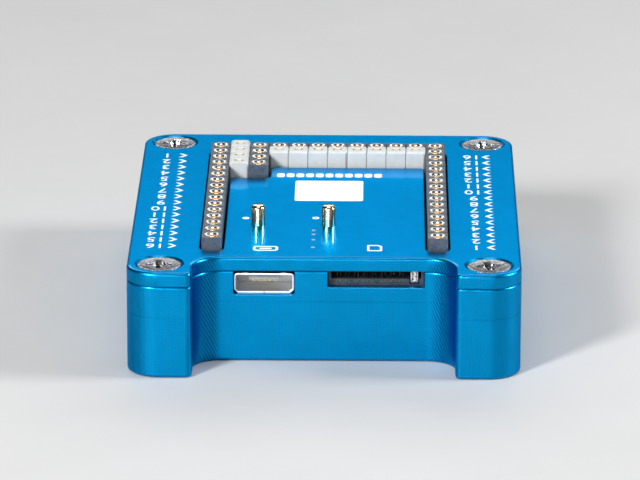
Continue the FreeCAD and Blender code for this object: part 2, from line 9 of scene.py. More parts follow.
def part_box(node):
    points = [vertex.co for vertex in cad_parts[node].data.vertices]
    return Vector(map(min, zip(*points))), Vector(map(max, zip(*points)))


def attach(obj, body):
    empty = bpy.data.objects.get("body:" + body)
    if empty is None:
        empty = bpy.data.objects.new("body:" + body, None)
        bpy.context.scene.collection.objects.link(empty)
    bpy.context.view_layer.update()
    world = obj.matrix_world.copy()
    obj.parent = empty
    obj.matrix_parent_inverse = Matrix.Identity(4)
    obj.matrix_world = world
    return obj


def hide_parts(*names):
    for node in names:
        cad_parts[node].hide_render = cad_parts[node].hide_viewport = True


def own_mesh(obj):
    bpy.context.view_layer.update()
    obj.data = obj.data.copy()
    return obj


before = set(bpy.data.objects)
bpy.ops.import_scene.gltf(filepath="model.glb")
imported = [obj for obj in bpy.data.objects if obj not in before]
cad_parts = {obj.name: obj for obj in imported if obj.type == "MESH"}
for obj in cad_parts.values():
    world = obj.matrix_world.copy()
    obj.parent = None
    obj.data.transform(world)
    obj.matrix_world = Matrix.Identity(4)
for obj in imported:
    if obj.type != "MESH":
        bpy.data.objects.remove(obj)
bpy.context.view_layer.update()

bl_info = {
    "name": "Boxed controller board",
    "version": (1, 0, 0),
    "blender": (4, 5, 0),
    "location": "3D View > Sidebar > Boxed board",
    "description": "Milled aluminium case, socket headers, port, card slot, plungers and a studio",
    "category": "Object",
}

# Shapes are worked out in millimetres and scaled to metres when a piece is finished.
MM = 0.001
CASE_LOW, CASE_HIGH = [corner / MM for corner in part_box("base_tray")]
SEAM_Z = CASE_HIGH.z
LID_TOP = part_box("lid")[1].z / MM
GRID_Y = 0.5
ROWS = 16
BOARD_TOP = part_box("circuit_board")[1].z / MM
BLACK_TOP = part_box("left_header_housing")[1].z / MM
WHITE_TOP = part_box("rear_white_header_housing")[1].z / MM
# The outer header columns, the pitch of the grid, and its rearmost row.
HEADER_X = 13.97
PITCH = 2.54
REAR_ROW_Y = GRID_Y + 19.05
# The card notch, the row of light holes, and depths shared by several pieces.
CARD_X = 6.37
CARD_HALF_WIDTH = 5.94
CARD_FLOOR = 9.6
LIGHT_X = -1.45
LIGHT_ROWS = (-12.0, -13.6, -15.8, -18.8)
UNDER_LID = 10.5
SLEEVE_LENGTH = 3.2
TAIL_END = 5.4
# The camera, with its place in metres and its angles in degrees.
CAMERA_PLACE = (0.006411, -0.624558, 0.210939)
CAMERA_TILT = 17.97149
CAMERA_SWING = 0.661715
CAMERA_ROLL = 0.1511365
# Where the lights point, in metres.
STAGE_MIDDLE = (0.0, 0.0, 0.01)


# ---------------------------------------------------------------- settings
class CaseSettings(bpy.types.PropertyGroup):
    """Sizes and colour of the milled case."""

    corner_radius: FloatProperty(
        name="Corner radius", description="Upright outer corners", default=4.0 * MM, unit="LENGTH")
    recess_depth: FloatProperty(
        name="Recess depth", description="How far the connector wall stands back", default=6.6 * MM,
        unit="LENGTH")
    recess_half_width: FloatProperty(
        name="Recess half width", description="Half the gap between the two front lobes",
        default=16.15 * MM, unit="LENGTH")
    recess_inner_radius: FloatProperty(
        name="Recess inner radius", description="Hollow corners at the back of the recess",
        default=3.6 * MM, unit="LENGTH")
    recess_edge_radius: FloatProperty(
        name="Recess edge radius", description="Corners at the recess mouth", default=0.7 * MM,
        unit="LENGTH")
    edge_round: FloatProperty(
        name="Edge round", description="Rounding of the top and bottom edges", default=0.4 * MM,
        unit="LENGTH")
    seam_round: FloatProperty(
        name="Seam round", description="Rounding of the tray's edge below the lid", default=0.25 * MM,
        unit="LENGTH")
    tool_pass_height: FloatProperty(
        name="Tool pass height", description="Height of the fine line the cutter left round the walls",
        default=7.75 * MM, unit="LENGTH")
    blue: FloatVectorProperty(
        name="Anodising", description="Colour of the anodised metal", subtype="COLOR", size=3,
        min=0.0, max=1.0, default=(0.0, 0.275, 0.6))


class ScrewSettings(bpy.types.PropertyGroup):
    """Sizes of the four lid screws."""

    inset: FloatProperty(
        name="Inset", description="Screw centre from the case's sides", default=4.0 * MM, unit="LENGTH")
    head_radius: FloatProperty(
        name="Head radius", description="Countersunk head", default=2.7 * MM, unit="LENGTH")
    shank_radius: FloatProperty(
        name="Shank radius", description="Threaded part", default=1.48 * MM, unit="LENGTH")
    cross_length: FloatProperty(
        name="Cross length", description="Length of the driver cross", default=3.2 * MM, unit="LENGTH")
    cross_width: FloatProperty(
        name="Cross width", description="Width of the cross at the head's face", default=0.95 * MM,
        unit="LENGTH")
    twist: FloatProperty(
        name="Twist", description="Most that a cross is turned from square", default=0.22,
        subtype="ANGLE")
    seed: IntProperty(name="Seed", description="Fixes how each cross is turned", default=4)


class HeaderSettings(bpy.types.PropertyGroup):
    """Sizes of the socket headers."""

    pitch: FloatProperty(
        name="Pitch", description="Distance between two sockets", default=2.54 * MM, unit="LENGTH")
    half_width: FloatProperty(
        name="Half width", description="Half the width of a strip", default=1.25 * MM, unit="LENGTH")
    joint_depth: FloatProperty(
        name="Joint depth", description="Depth of the notch between two sockets", default=0.18 * MM,
        unit="LENGTH")
    rim_radius: FloatProperty(
        name="Rim radius", description="Flared rim of a turned sleeve", default=0.96 * MM, unit="LENGTH")
    sleeve_radius: FloatProperty(
        name="Sleeve radius", description="Turned sleeve below its rim", default=0.7 * MM, unit="LENGTH")
    bore_radius: FloatProperty(
        name="Bore radius", description="Hole in a turned sleeve", default=0.5 * MM, unit="LENGTH")
    slot_width: FloatProperty(
        name="Slot width", description="Opening over a forked contact", default=1.1 * MM, unit="LENGTH")
    slot_depth: FloatProperty(
        name="Slot depth", description="Opening over a forked contact, front to back",
        default=0.82 * MM, unit="LENGTH")


class PlungerSettings(bpy.types.PropertyGroup):
    """Sizes of the two push plungers."""

    radius: FloatProperty(
        name="Radius", description="Turned shaft", default=0.87 * MM, unit="LENGTH")
    flange_radius: FloatProperty(
        name="Flange radius", description="Collar below the lid", default=1.5 * MM, unit="LENGTH")
    chamfer: FloatProperty(
        name="Chamfer", description="Bevel round the top", default=0.3 * MM, unit="LENGTH")


class PortSettings(bpy.types.PropertyGroup):
    """Sizes of the port and the card slot."""

    centre_x: FloatProperty(
        name="Port centre", description="Across the case", default=-7.44 * MM, unit="LENGTH")
    width: FloatProperty(name="Width", description="Port shell", default=7.4 * MM, unit="LENGTH")
    height: FloatProperty(name="Height", description="Port shell", default=2.5 * MM, unit="LENGTH")
    wall: FloatProperty(name="Wall", description="Sheet thickness", default=0.25 * MM, unit="LENGTH")
    lip: FloatProperty(
        name="Lip", description="How far the rolled mouth stands out", default=0.1 * MM, unit="LENGTH")
    card_contact_pitch: FloatProperty(
        name="Card contact pitch", description="Distance between two card contacts",
        default=1.1 * MM, unit="LENGTH")


class MarkingSettings(bpy.types.PropertyGroup):
    """Sizes and colour of the printed marks."""

    figure_height: FloatProperty(
        name="Figure height", description="Height of the row numbers", default=1.7 * MM, unit="LENGTH")
    thickness: FloatProperty(
        name="Ink thickness", description="How far the ink stands up", default=0.012 * MM,
        unit="LENGTH")
    ink: FloatVectorProperty(
        name="Ink", description="Colour of the ink", subtype="COLOR", size=3, min=0.0, max=1.0,
        default=(0.88, 0.92, 0.95))


class StageSettings(bpy.types.PropertyGroup):
    """Floor, lights and camera."""

    floor_colour: FloatVectorProperty(
        name="Floor", description="Colour of the floor", subtype="COLOR", size=3, min=0.0, max=1.0,
        default=(0.5, 0.5, 0.5))
    key_power: FloatProperty(
        name="Key light", description="Light from the front left", default=5.6, unit="POWER")
    front_power: FloatProperty(
        name="Front light", description="Soft light from in front", default=2.4, unit="POWER")
    side_power: FloatProperty(
        name="Side light", description="Light from the right", default=3.0, unit="POWER")
    top_power: FloatProperty(
        name="Top light", description="Broad light above and behind", default=4.5, unit="POWER")
    overhead_power: FloatProperty(
        name="Overhead light", description="Light straight above", default=0.8, unit="POWER")
    lens: FloatProperty(
        name="Lens", description="Camera focal length in millimetres", default=289.93,
        subtype="DISTANCE_CAMERA")


SETTINGS = {
    "case_settings": CaseSettings,
    "screw_settings": ScrewSettings,
    "header_settings": HeaderSettings,
    "plunger_settings": PlungerSettings,
    "port_settings": PortSettings,
    "marking_settings": MarkingSettings,
    "stage_settings": StageSettings,
}


def in_mm(length):
    """A property's length in millimetres."""
    return length / MM


# ---------------------------------------------------------------- mesh helpers
def rounded_outline(corners, inset=0.0):
    """Points along a counter-clockwise outline of (x, y, radius) corners, moved inwards by inset."""
    points = []
    for index, (x, y, radius) in enumerate(corners):
        here = Vector((x, y))
        before = Vector(corners[index - 1][:2])
        after = Vector(corners[(index + 1) % len(corners)][:2])
        arrive = (here - before).normalized()
        leave = (after - here).normalized()
        turn = math.atan2(arrive.cross(leave), arrive.dot(leave))
        side = 1.0 if turn > 0 else -1.0
        in_a = Vector((-arrive.y, arrive.x))
        in_b = Vector((-leave.y, leave.x))
        moved = here + (in_a + in_b) * (inset / (1 + in_a.dot(in_b)))
        bend = max(radius - side * inset, 0.01)
        start = moved - arrive * (bend * math.tan(abs(turn) / 2))
        centre = start + in_a * (side * bend)
        spoke = start - centre
        steps = max(3, round(radius * 6))
        for step in range(steps + 1):
            turned = Matrix.Rotation(turn * step / steps, 2) @ spoke
            points.append(centre + turned)
    return points


def level(corners, z, inset=0.0):
    """A rounded outline laid flat at one height."""
    return [(p.x, p.y, z) for p in rounded_outline(corners, inset)]


def upright(corners, y, inset=0.0):
    """A rounded outline drawn in X and Z, at one depth."""
    return [(p.x, y, p.y) for p in rounded_outline(corners, inset)]


def rectangle(x0, x1, y0, y1, radius):
    """The corners of a rectangle."""
    return [(x0, y0, radius), (x1, y0, radius), (x1, y1, radius), (x0, y1, radius)]


def loft(loops, ring=False):
    """Vertices and faces of a skin over equal loops, with end caps or joined into a ring."""
    count = len(loops[0])
    points = [point for loop in loops for point in loop]
    faces = []
    spans = len(loops) if ring else len(loops) - 1
    for row in range(spans):
        low = row * count
        high = (row + 1) % len(loops) * count
        for column in range(count):
            after = (column + 1) % count
            faces.append((low + column, low + after, high + after, high + column))
    if not ring:
        faces.append(tuple(reversed(range(count))))
        faces.append(tuple(range((len(loops) - 1) * count, len(loops) * count)))
    return points, faces


def lathe(profile, x, y, segments):
    """Vertices and faces of a turned solid; profile is (radius, z) from one end to the other."""
    points = []
    rings = []
    for radius, z in profile:
        if radius < 1e-6:
            rings.append([len(points)])
            points.append((x, y, z))
            continue
        ring = []
        for step in range(segments):
            angle = 2 * math.pi * step / segments
            ring.append(len(points))
            points.append((x + radius * math.cos(angle), y + radius * math.sin(angle), z))
        rings.append(ring)
    faces = []
    for low, high in zip(rings, rings[1:]):
        for step in range(segments):
            after = (step + 1) % segments
            corners = [low[step % len(low)], low[after % len(low)], high[after % len(high)],
                       high[step % len(high)]]
            faces.append(tuple(dict.fromkeys(corners)))
    for ring in (rings[0], rings[-1]):
        if len(ring) > 1:
            faces.append(tuple(ring))
    return points, faces


def slab(x0, x1, y0, y1, z0, z1):
    """Vertices and faces of a box."""
    corners = [(x0, y0), (x1, y0), (x1, y1), (x0, y1)]
    return loft([[(x, y, z) for x, y in corners] for z in (z0, z1)])


def together(shapes):
    """Several sets of vertices and faces as one."""
    points = []
    faces = []
    for more_points, more_faces in shapes:
        start = len(points)
        points.extend(more_points)
        faces.extend(tuple(start + index for index in face) for face in more_faces)
    return points, faces


def rough_object(name, shape):
    """An object from vertices and faces, with its doubles merged and its faces turned outwards."""
    mesh = bpy.data.meshes.new(name)
    mesh.from_pydata([Vector(point) for point in shape[0]], [], shape[1])
    thing = bpy.data.objects.new(name, mesh)
    bpy.context.scene.collection.objects.link(thing)
    tidy_faces(mesh)
    return thing


def tidy_faces(mesh):
    """Merge doubles and turn faces outwards."""
    work = bmesh.new()
    work.from_mesh(mesh)
    bmesh.ops.remove_doubles(work, verts=work.verts, dist=1e-4)
    bmesh.ops.dissolve_degenerate(work, edges=work.edges, dist=1e-5)
    bmesh.ops.recalc_face_normals(work, faces=work.faces)
    work.to_mesh(mesh)
    work.free()


def drop(thing):
    """Remove a helper object and its mesh."""
    data = thing.data
    bpy.data.objects.remove(thing)
    bpy.data.meshes.remove(data)


def settle(thing):
    """Turn an object's modifiers into its plain mesh."""
    bpy.context.view_layer.update()
    graph = bpy.context.evaluated_depsgraph_get()
    mesh = bpy.data.meshes.new_from_object(thing.evaluated_get(graph))
    thing.modifiers.clear()
    old = thing.data
    thing.data = mesh
    bpy.data.meshes.remove(old)
    mesh.name = thing.name
    if not mesh.polygons:
        raise RuntimeError(thing.name + " came out empty")


def carve(thing, shape, operation="DIFFERENCE"):
    """Cut a shape out of an object, or add it."""
    cutter = rough_object("cutter", shape)
    change = thing.modifiers.new("carve", "BOOLEAN")
    change.object = cutter
    change.operation = operation
    change.solver = "EXACT"
    settle(thing)
    drop(cutter)


def finish_piece(thing, body, nodes, finish, sharp=32.0):
    """Scale a piece to metres, shade it, give it its finish and fix it to its CAD body."""
    mesh = thing.data
    tidy_faces(mesh)
    mesh.transform(Matrix.Scale(MM, 4))
    mesh.materials.clear()
    mesh.materials.append(bpy.data.materials[finish])
    mesh.polygons.foreach_set("material_index", [0] * len(mesh.polygons))
    mesh.polygons.foreach_set("use_smooth", [True] * len(mesh.polygons))
    mesh.set_sharp_from_angle(angle=math.radians(sharp))
    even = thing.modifiers.new("even", "WEIGHTED_NORMAL")
    even.keep_sharp = True
    even.weight = 80
    settle(thing)
    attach(thing, body)
    if nodes:
        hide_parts(*nodes)
    return thing


# ---------------------------------------------------------------- geometry node helpers
def new_tree(name, inputs, kind="GeometryNodeTree", output=("Geometry", "NodeSocketGeometry")):
    """An empty node tree with one output and named inputs, each (name, socket type, value)."""
    tree = bpy.data.node_groups.new(name, kind)
    for label, socket_type, value in inputs:
        socket = tree.interface.new_socket(label, in_out="INPUT", socket_type=socket_type)
        if value is not None:
            socket.default_value = value
    tree.interface.new_socket(output[0], in_out="OUTPUT", socket_type=output[1])
    return tree


def place_node(tree, kind, inputs, **settings):
    """A node with its settings; inputs maps a socket's name or number to a value or an output."""
    node = tree.nodes.new(kind)
    for key, value in settings.items():
        setattr(node, key, value)
    for key, value in inputs.items():
        socket = node.inputs[key]
        if isinstance(value, bpy.types.NodeSocket):
            tree.links.new(value, socket)
        else:
            socket.default_value = value
    return node


def end_tree(tree, geometry, material):
    """Realize the instances, set the material and send the result out."""
    real = place_node(tree, "GeometryNodeRealizeInstances", {"Geometry": geometry})
    dressed = place_node(tree, "GeometryNodeSetMaterial", {
        "Geometry": real.outputs["Geometry"], "Material": material})
    place_node(tree, "NodeGroupOutput", {"Geometry": dressed.outputs["Geometry"]})


def copies_on_line(tree, given, piece):
    """Instances of an object along the line that a tree's inputs describe."""
    source = place_node(tree, "GeometryNodeObjectInfo", {"Object": piece})
    line = place_node(tree, "GeometryNodeMeshLine", {
        "Count": given["Count"], "Start Location": given["Start"], "Offset": given["Step"]},
        mode="OFFSET")
    return place_node(tree, "GeometryNodeInstanceOnPoints", {
        "Points": line.outputs["Mesh"], "Instance": source.outputs["Geometry"]}).outputs["Instances"]


def line_tree():
    """Copies of one piece along a straight line."""
    tree = bpy.data.node_groups.get("Pieces in a line")
    if tree:
        return tree
    tree = new_tree("Pieces in a line", [
        ("Piece", "NodeSocketObject", None), ("Count", "NodeSocketInt", 2),
        ("Start", "NodeSocketVector", None), ("Step", "NodeSocketVector", None),
        ("Material", "NodeSocketMaterial", None)])
    given = place_node(tree, "NodeGroupInput", {}).outputs
    end_tree(tree, copies_on_line(tree, given, given["Piece"]), given["Material"])
    return tree


def socket_tree():
    """A bar with one socket after another cut into it."""
    tree = bpy.data.node_groups.get("Sockets in a bar")
    if tree:
        return tree
    tree = new_tree("Sockets in a bar", [
        ("Bar", "NodeSocketObject", None), ("Socket", "NodeSocketObject", None),
        ("Count", "NodeSocketInt", 2), ("Start", "NodeSocketVector", None),
        ("Step", "NodeSocketVector", None), ("Material", "NodeSocketMaterial", None)])
    given = place_node(tree, "NodeGroupInput", {}).outputs
    bar = place_node(tree, "GeometryNodeObjectInfo", {"Object": given["Bar"]})
    holes = copies_on_line(tree, given, given["Socket"])
    real = place_node(tree, "GeometryNodeRealizeInstances", {"Geometry": holes})
    cut = place_node(tree, "GeometryNodeMeshBoolean", {
        "Mesh 1": bar.outputs["Geometry"], "Mesh 2": real.outputs["Geometry"]},
        operation="DIFFERENCE", solver="EXACT")
    end_tree(tree, cut.outputs["Mesh"], given["Material"])
    return tree


def corner_tree():
    """One screw in each corner of a rectangle, each turned a little."""
    tree = new_tree("Corner screws", [
        ("Screw", "NodeSocketObject", None), ("Width", "NodeSocketFloat", 1.0),
        ("Depth", "NodeSocketFloat", 1.0), ("Twist", "NodeSocketFloat", 0.1),
        ("Seed", "NodeSocketInt", 1), ("Material", "NodeSocketMaterial", None)])
    given = place_node(tree, "NodeGroupInput", {}).outputs
    screw = place_node(tree, "GeometryNodeObjectInfo", {"Object": given["Screw"]})
    grid = place_node(tree, "GeometryNodeMeshGrid", {
        "Size X": given["Width"], "Size Y": given["Depth"], "Vertices X": 2, "Vertices Y": 2})
    least = place_node(tree, "ShaderNodeMath", {0: given["Twist"], 1: -1.0}, operation="MULTIPLY")
    turn = place_node(tree, "FunctionNodeRandomValue", {
        "Seed": given["Seed"]}, data_type="FLOAT")
    tree.links.new(least.outputs[0], turn.inputs[2])
    tree.links.new(given["Twist"], turn.inputs[3])
    spin = place_node(tree, "ShaderNodeCombineXYZ", {"Z": turn.outputs[1]})
    copies = place_node(tree, "GeometryNodeInstanceOnPoints", {
        "Points": grid.outputs["Mesh"], "Instance": screw.outputs["Geometry"],
        "Rotation": spin.outputs["Vector"]})
    end_tree(tree, copies.outputs["Instances"], given["Material"])
    return tree


def grow(name, tree, values):
    """An object whose plain mesh is what a geometry node tree gives for these inputs."""
    mesh = bpy.data.meshes.new(name)
    thing = bpy.data.objects.new(name, mesh)
    bpy.context.scene.collection.objects.link(thing)
    change = thing.modifiers.new("grow", "NODES")
    change.node_group = tree
    for item in tree.interface.items_tree:
        if item.item_type == "SOCKET" and item.in_out == "INPUT" and item.name in values:
            change[item.identifier] = values[item.name]
    settle(thing)
    return thing


# ---------------------------------------------------------------- shader helpers
def speckle_group():
    """Small even variation: a noise on a vector, spread between two values."""
    tree = new_tree("Speckle", [
        ("Vector", "NodeSocketVector", None), ("Scale", "NodeSocketFloat", 1000.0),
        ("Detail", "NodeSocketFloat", 3.0), ("Low", "NodeSocketFloat", 0.0),
        ("High", "NodeSocketFloat", 1.0)], "ShaderNodeTree", ("Value", "NodeSocketFloat"))
    given = place_node(tree, "NodeGroupInput", {}).outputs
    noise = place_node(tree, "ShaderNodeTexNoise", {
        "Vector": given["Vector"], "Scale": given["Scale"], "Detail": given["Detail"]})
    widened = place_node(tree, "ShaderNodeMapRange", {
        "Value": noise.outputs["Fac"], "From Min": 0.3, "From Max": 0.7, "To Min": given["Low"],
        "To Max": given["High"]})
    place_node(tree, "NodeGroupOutput", {"Value": widened.outputs["Result"]})
    return tree


def tool_marks_group():
    """Fine parallel marks left by a cutter: even lines across one direction, wavering a little."""
    tree = new_tree("Tool marks", [
        ("Vector", "NodeSocketVector", None), ("Across", "NodeSocketVector", (0.0, 0.0, 1.0)),
        ("Lines per metre", "NodeSocketFloat", 3600.0), ("Waver", "NodeSocketFloat", 4.0)],
        "ShaderNodeTree", ("Height", "NodeSocketFloat"))
    given = place_node(tree, "NodeGroupInput", {}).outputs
    along = place_node(tree, "ShaderNodeVectorMath", {0: given["Vector"], 1: given["Across"]},
                       operation="DOT_PRODUCT")
    turns = place_node(tree, "ShaderNodeMath", {0: given["Lines per metre"], 1: 2 * math.pi},
                       operation="MULTIPLY")
    phase = place_node(tree, "ShaderNodeMath", {0: along.outputs["Value"], 1: turns.outputs[0]},
                       operation="MULTIPLY")
    drift = place_node(tree, "ShaderNodeTexNoise", {"Vector": given["Vector"], "Scale": 900.0, "Detail": 3.0})
    waver = place_node(tree, "ShaderNodeMath", {0: drift.outputs["Fac"], 1: given["Waver"]},
                       operation="MULTIPLY")
    total = place_node(tree, "ShaderNodeMath", {0: phase.outputs[0], 1: waver.outputs[0]},
                       operation="ADD")
    wave = place_node(tree, "ShaderNodeMath", {0: total.outputs[0]}, operation="SINE")
    height = place_node(tree, "ShaderNodeMapRange", {
        "Value": wave.outputs[0], "From Min": -1.0, "From Max": 1.0})
    place_node(tree, "NodeGroupOutput", {"Height": height.outputs["Result"]})
    return tree


def shader_group(tree, name, inputs):
    """One of the shared groups, placed in a material."""
    return place_node(tree, "ShaderNodeGroup", inputs, node_tree=bpy.data.node_groups[name]).outputs[0]


def new_finish(name, **constants):
    """A material with its shader's plain values set; returns its tree, shader and object coordinates."""
    material = bpy.data.materials.new(name)
    if material.name != name:
        raise RuntimeError(name + " is already a material of the frame")
    material.use_nodes = True
    tree = material.node_tree
    shader = tree.nodes["Principled BSDF"]
    for key, value in constants.items():
        shader.inputs[key.replace("_", " ")].default_value = value
    where = place_node(tree, "ShaderNodeTexCoord", {}).outputs["Object"]
    return tree, shader, where


def blend_colours(tree, amount, first, second):
    """A colour between two, by an amount that changes over the surface."""
    mix = place_node(tree, "ShaderNodeMix", {0: amount}, data_type="RGBA")
    mix.inputs[6].default_value = (*first, 1.0)
    mix.inputs[7].default_value = (*second, 1.0)
    return mix.outputs[2]


def raise_surface(tree, shader, height, depth):
    """A bump from a height, as deep as depth in millimetres."""
    raised = place_node(tree, "ShaderNodeBump", {"Height": height, "Distance": depth * MM, "Strength": 1.0})
    tree.links.new(raised.outputs["Normal"], shader.inputs["Normal"])


def plain_finish(name, first, second, rough, scale, bump=0.0, bump_scale=6000.0, **constants):
    """A finish with two close colours, a range of roughness and a fine grain."""
    tree, shader, where = new_finish(name, **constants)
    spots = shader_group(tree, "Speckle", {"Vector": where, "Scale": scale})
    tree.links.new(blend_colours(tree, spots, first, second), shader.inputs["Base Color"])
    gloss = shader_group(tree, "Speckle", {
        "Vector": where, "Scale": scale * 1.7, "Low": rough[0], "High": rough[1]})
    tree.links.new(gloss, shader.inputs["Roughness"])
    if bump:
        grain = shader_group(tree, "Speckle", {"Vector": where, "Scale": bump_scale})
        raise_surface(tree, shader, grain, bump)
    return tree, shader, where


def math_node(tree, operation, first, second=0.0):
    """The result of one sum on two values."""
    return place_node(tree, "ShaderNodeMath", {0: first, 1: second}, operation=operation).outputs[0]


def spread(tree, value, low, high, start=0.0, end=1.0):
    """A value's range from low to high, drawn out from start to end and held at both."""
    return place_node(tree, "ShaderNodeMapRange", {
        "Value": value, "From Min": low, "From Max": high, "To Min": start, "To Max": end}).outputs[0]


def anodised_finish(blue, line_height):
    """Blue anodised aluminium: a satin lid, walls with the cutter's fine crossing marks, and painted shade
    with slanting cutter marks in the hollow corners of the recess.
    """
    tree, shader, where = new_finish(
        "anodised_metal", Metallic=1.0, Coat_Roughness=0.05, Coat_IOR=1.5)
    shader.inputs["Specular Tint"].default_value = (0.0, 0.7, 1.0, 1.0)
    facing = place_node(tree, "ShaderNodeTexCoord", {}).outputs["Normal"]
    parts = place_node(tree, "ShaderNodeSeparateXYZ", {"Vector": facing}).outputs
    wall = spread(tree, math_node(tree, "ABSOLUTE", parts["Z"]), 0.15, 0.6, 1.0, 0.0)
    tree.links.new(spread(tree, wall, 0.0, 1.0, 0.3, 0.06), shader.inputs["Coat Weight"])
    place = place_node(tree, "ShaderNodeSeparateXYZ", {"Vector": where}).outputs
    sideways = math_node(tree, "ABSOLUTE", parts["X"])
    # Mask for painted shade: surfaces turned partly sideways, in the hollow corners at the back of the
    # recess.
    shade_slant_mask = math_node(tree, "MULTIPLY", spread(tree, sideways, 0.1, 0.32),
                         spread(tree, sideways, 0.6, 0.9, 1.0, 0.0))
    hollow = spread(tree, math_node(tree, "MULTIPLY", parts["X"], place["X"]), -0.002, -0.001, 1.0, 0.0)
    inner = spread(tree, place["Y"], CASE_LOW.y * MM + 0.0015, CASE_LOW.y * MM + 0.003)
    corner = math_node(tree, "MULTIPLY", shade_slant_mask,
                       math_node(tree, "MULTIPLY", hollow, inner))
    off_line = math_node(tree, "ABSOLUTE", math_node(tree, "SUBTRACT", place["Z"], line_height))
    pass_line = math_node(tree, "MULTIPLY", spread(tree, off_line, 0.03 * MM, 0.09 * MM, 1.0, 0.0), wall)
    patchy = shader_group(tree, "Speckle", {"Vector": where, "Scale": 160.0, "Low": 0.1, "High": 0.6})
    level_marks = shader_group(tree, "Tool marks", {
        "Vector": where, "Across": (0.0, 0.0, 1.0), "Lines per metre": 3900.0, "Waver": 9.0})
    upright_marks = shader_group(tree, "Tool marks", {
        "Vector": where, "Across": (1.0, 1.0, 0.0), "Lines per metre": 3500.0, "Waver": 9.0})
    slant_marks = shader_group(tree, "Tool marks", {
        "Vector": where, "Across": (0.9, 0.0, 0.44), "Lines per metre": 3000.0, "Waver": 5.0})
    weave = math_node(tree, "MULTIPLY", math_node(tree, "ADD", level_marks, upright_marks), 0.5)
    # Slanting cutter marks drawn only inside the painted shade of the hollow corners.
    marks_in_painted_shade = math_node(tree, "MULTIPLY", slant_marks, corner)
    mottle = shader_group(tree, "Speckle", {"Vector": where, "Scale": 420.0, "Detail": 5.0})
    shade = math_node(tree, "MULTIPLY", mottle, 0.25)
    shade = math_node(tree, "ADD", shade, math_node(tree, "MULTIPLY", weave, math_node(
        tree, "MULTIPLY", wall, 0.75)))
    darkened = tuple(value * 0.68 for value in blue)
    ground = blend_colours(tree, shade, blue, darkened)
    # The dark colour holds the real tool pass line and the painted shade in the recess's hollow corners.
    dark = math_node(tree, "ADD", math_node(tree, "MULTIPLY", math_node(tree, "MULTIPLY", marks_in_painted_shade, wall), 0.9),
                     math_node(tree, "MULTIPLY", pass_line, patchy))
    line_and_shade_mix = place_node(tree, "ShaderNodeMix", {0: dark}, data_type="RGBA")
    tree.links.new(ground, line_and_shade_mix.inputs[6])
    line_and_shade_mix.inputs[7].default_value = (0.0, blue[1] * 0.3, blue[2] * 0.38, 1.0)
    tree.links.new(line_and_shade_mix.outputs[2], shader.inputs["Base Color"])
    rough = shader_group(tree, "Speckle", {
        "Vector": where, "Scale": 900.0, "Low": 0.31, "High": 0.37})
    tree.links.new(rough, shader.inputs["Roughness"])
    walled = math_node(tree, "MULTIPLY", math_node(tree, "ADD", weave, marks_in_painted_shade), wall)
    blast = shader_group(tree, "Speckle", {"Vector": where, "Scale": 5200.0, "Low": 0.0, "High": 0.3})
    raise_surface(tree, shader, math_node(tree, "ADD", walled, blast), 0.012)


def brass_finish():
    """Turned brass: fine rings left by the lathe."""
    tree, shader, where = new_finish("turned_brass", Metallic=1.0)
    spots = shader_group(tree, "Speckle", {"Vector": where, "Scale": 1500.0})
    tree.links.new(blend_colours(tree, spots, (0.86, 0.7, 0.42), (0.93, 0.8, 0.55)),
                   shader.inputs["Base Color"])
    rough = shader_group(tree, "Speckle", {"Vector": where, "Scale": 2600.0, "Low": 0.14, "High": 0.22})
    tree.links.new(rough, shader.inputs["Roughness"])
    rings = shader_group(tree, "Tool marks", {
        "Vector": where, "Across": (0.0, 0.0, 1.0), "Lines per metre": 9000.0, "Waver": 6.0})
    raise_surface(tree, shader, rings, 0.002)


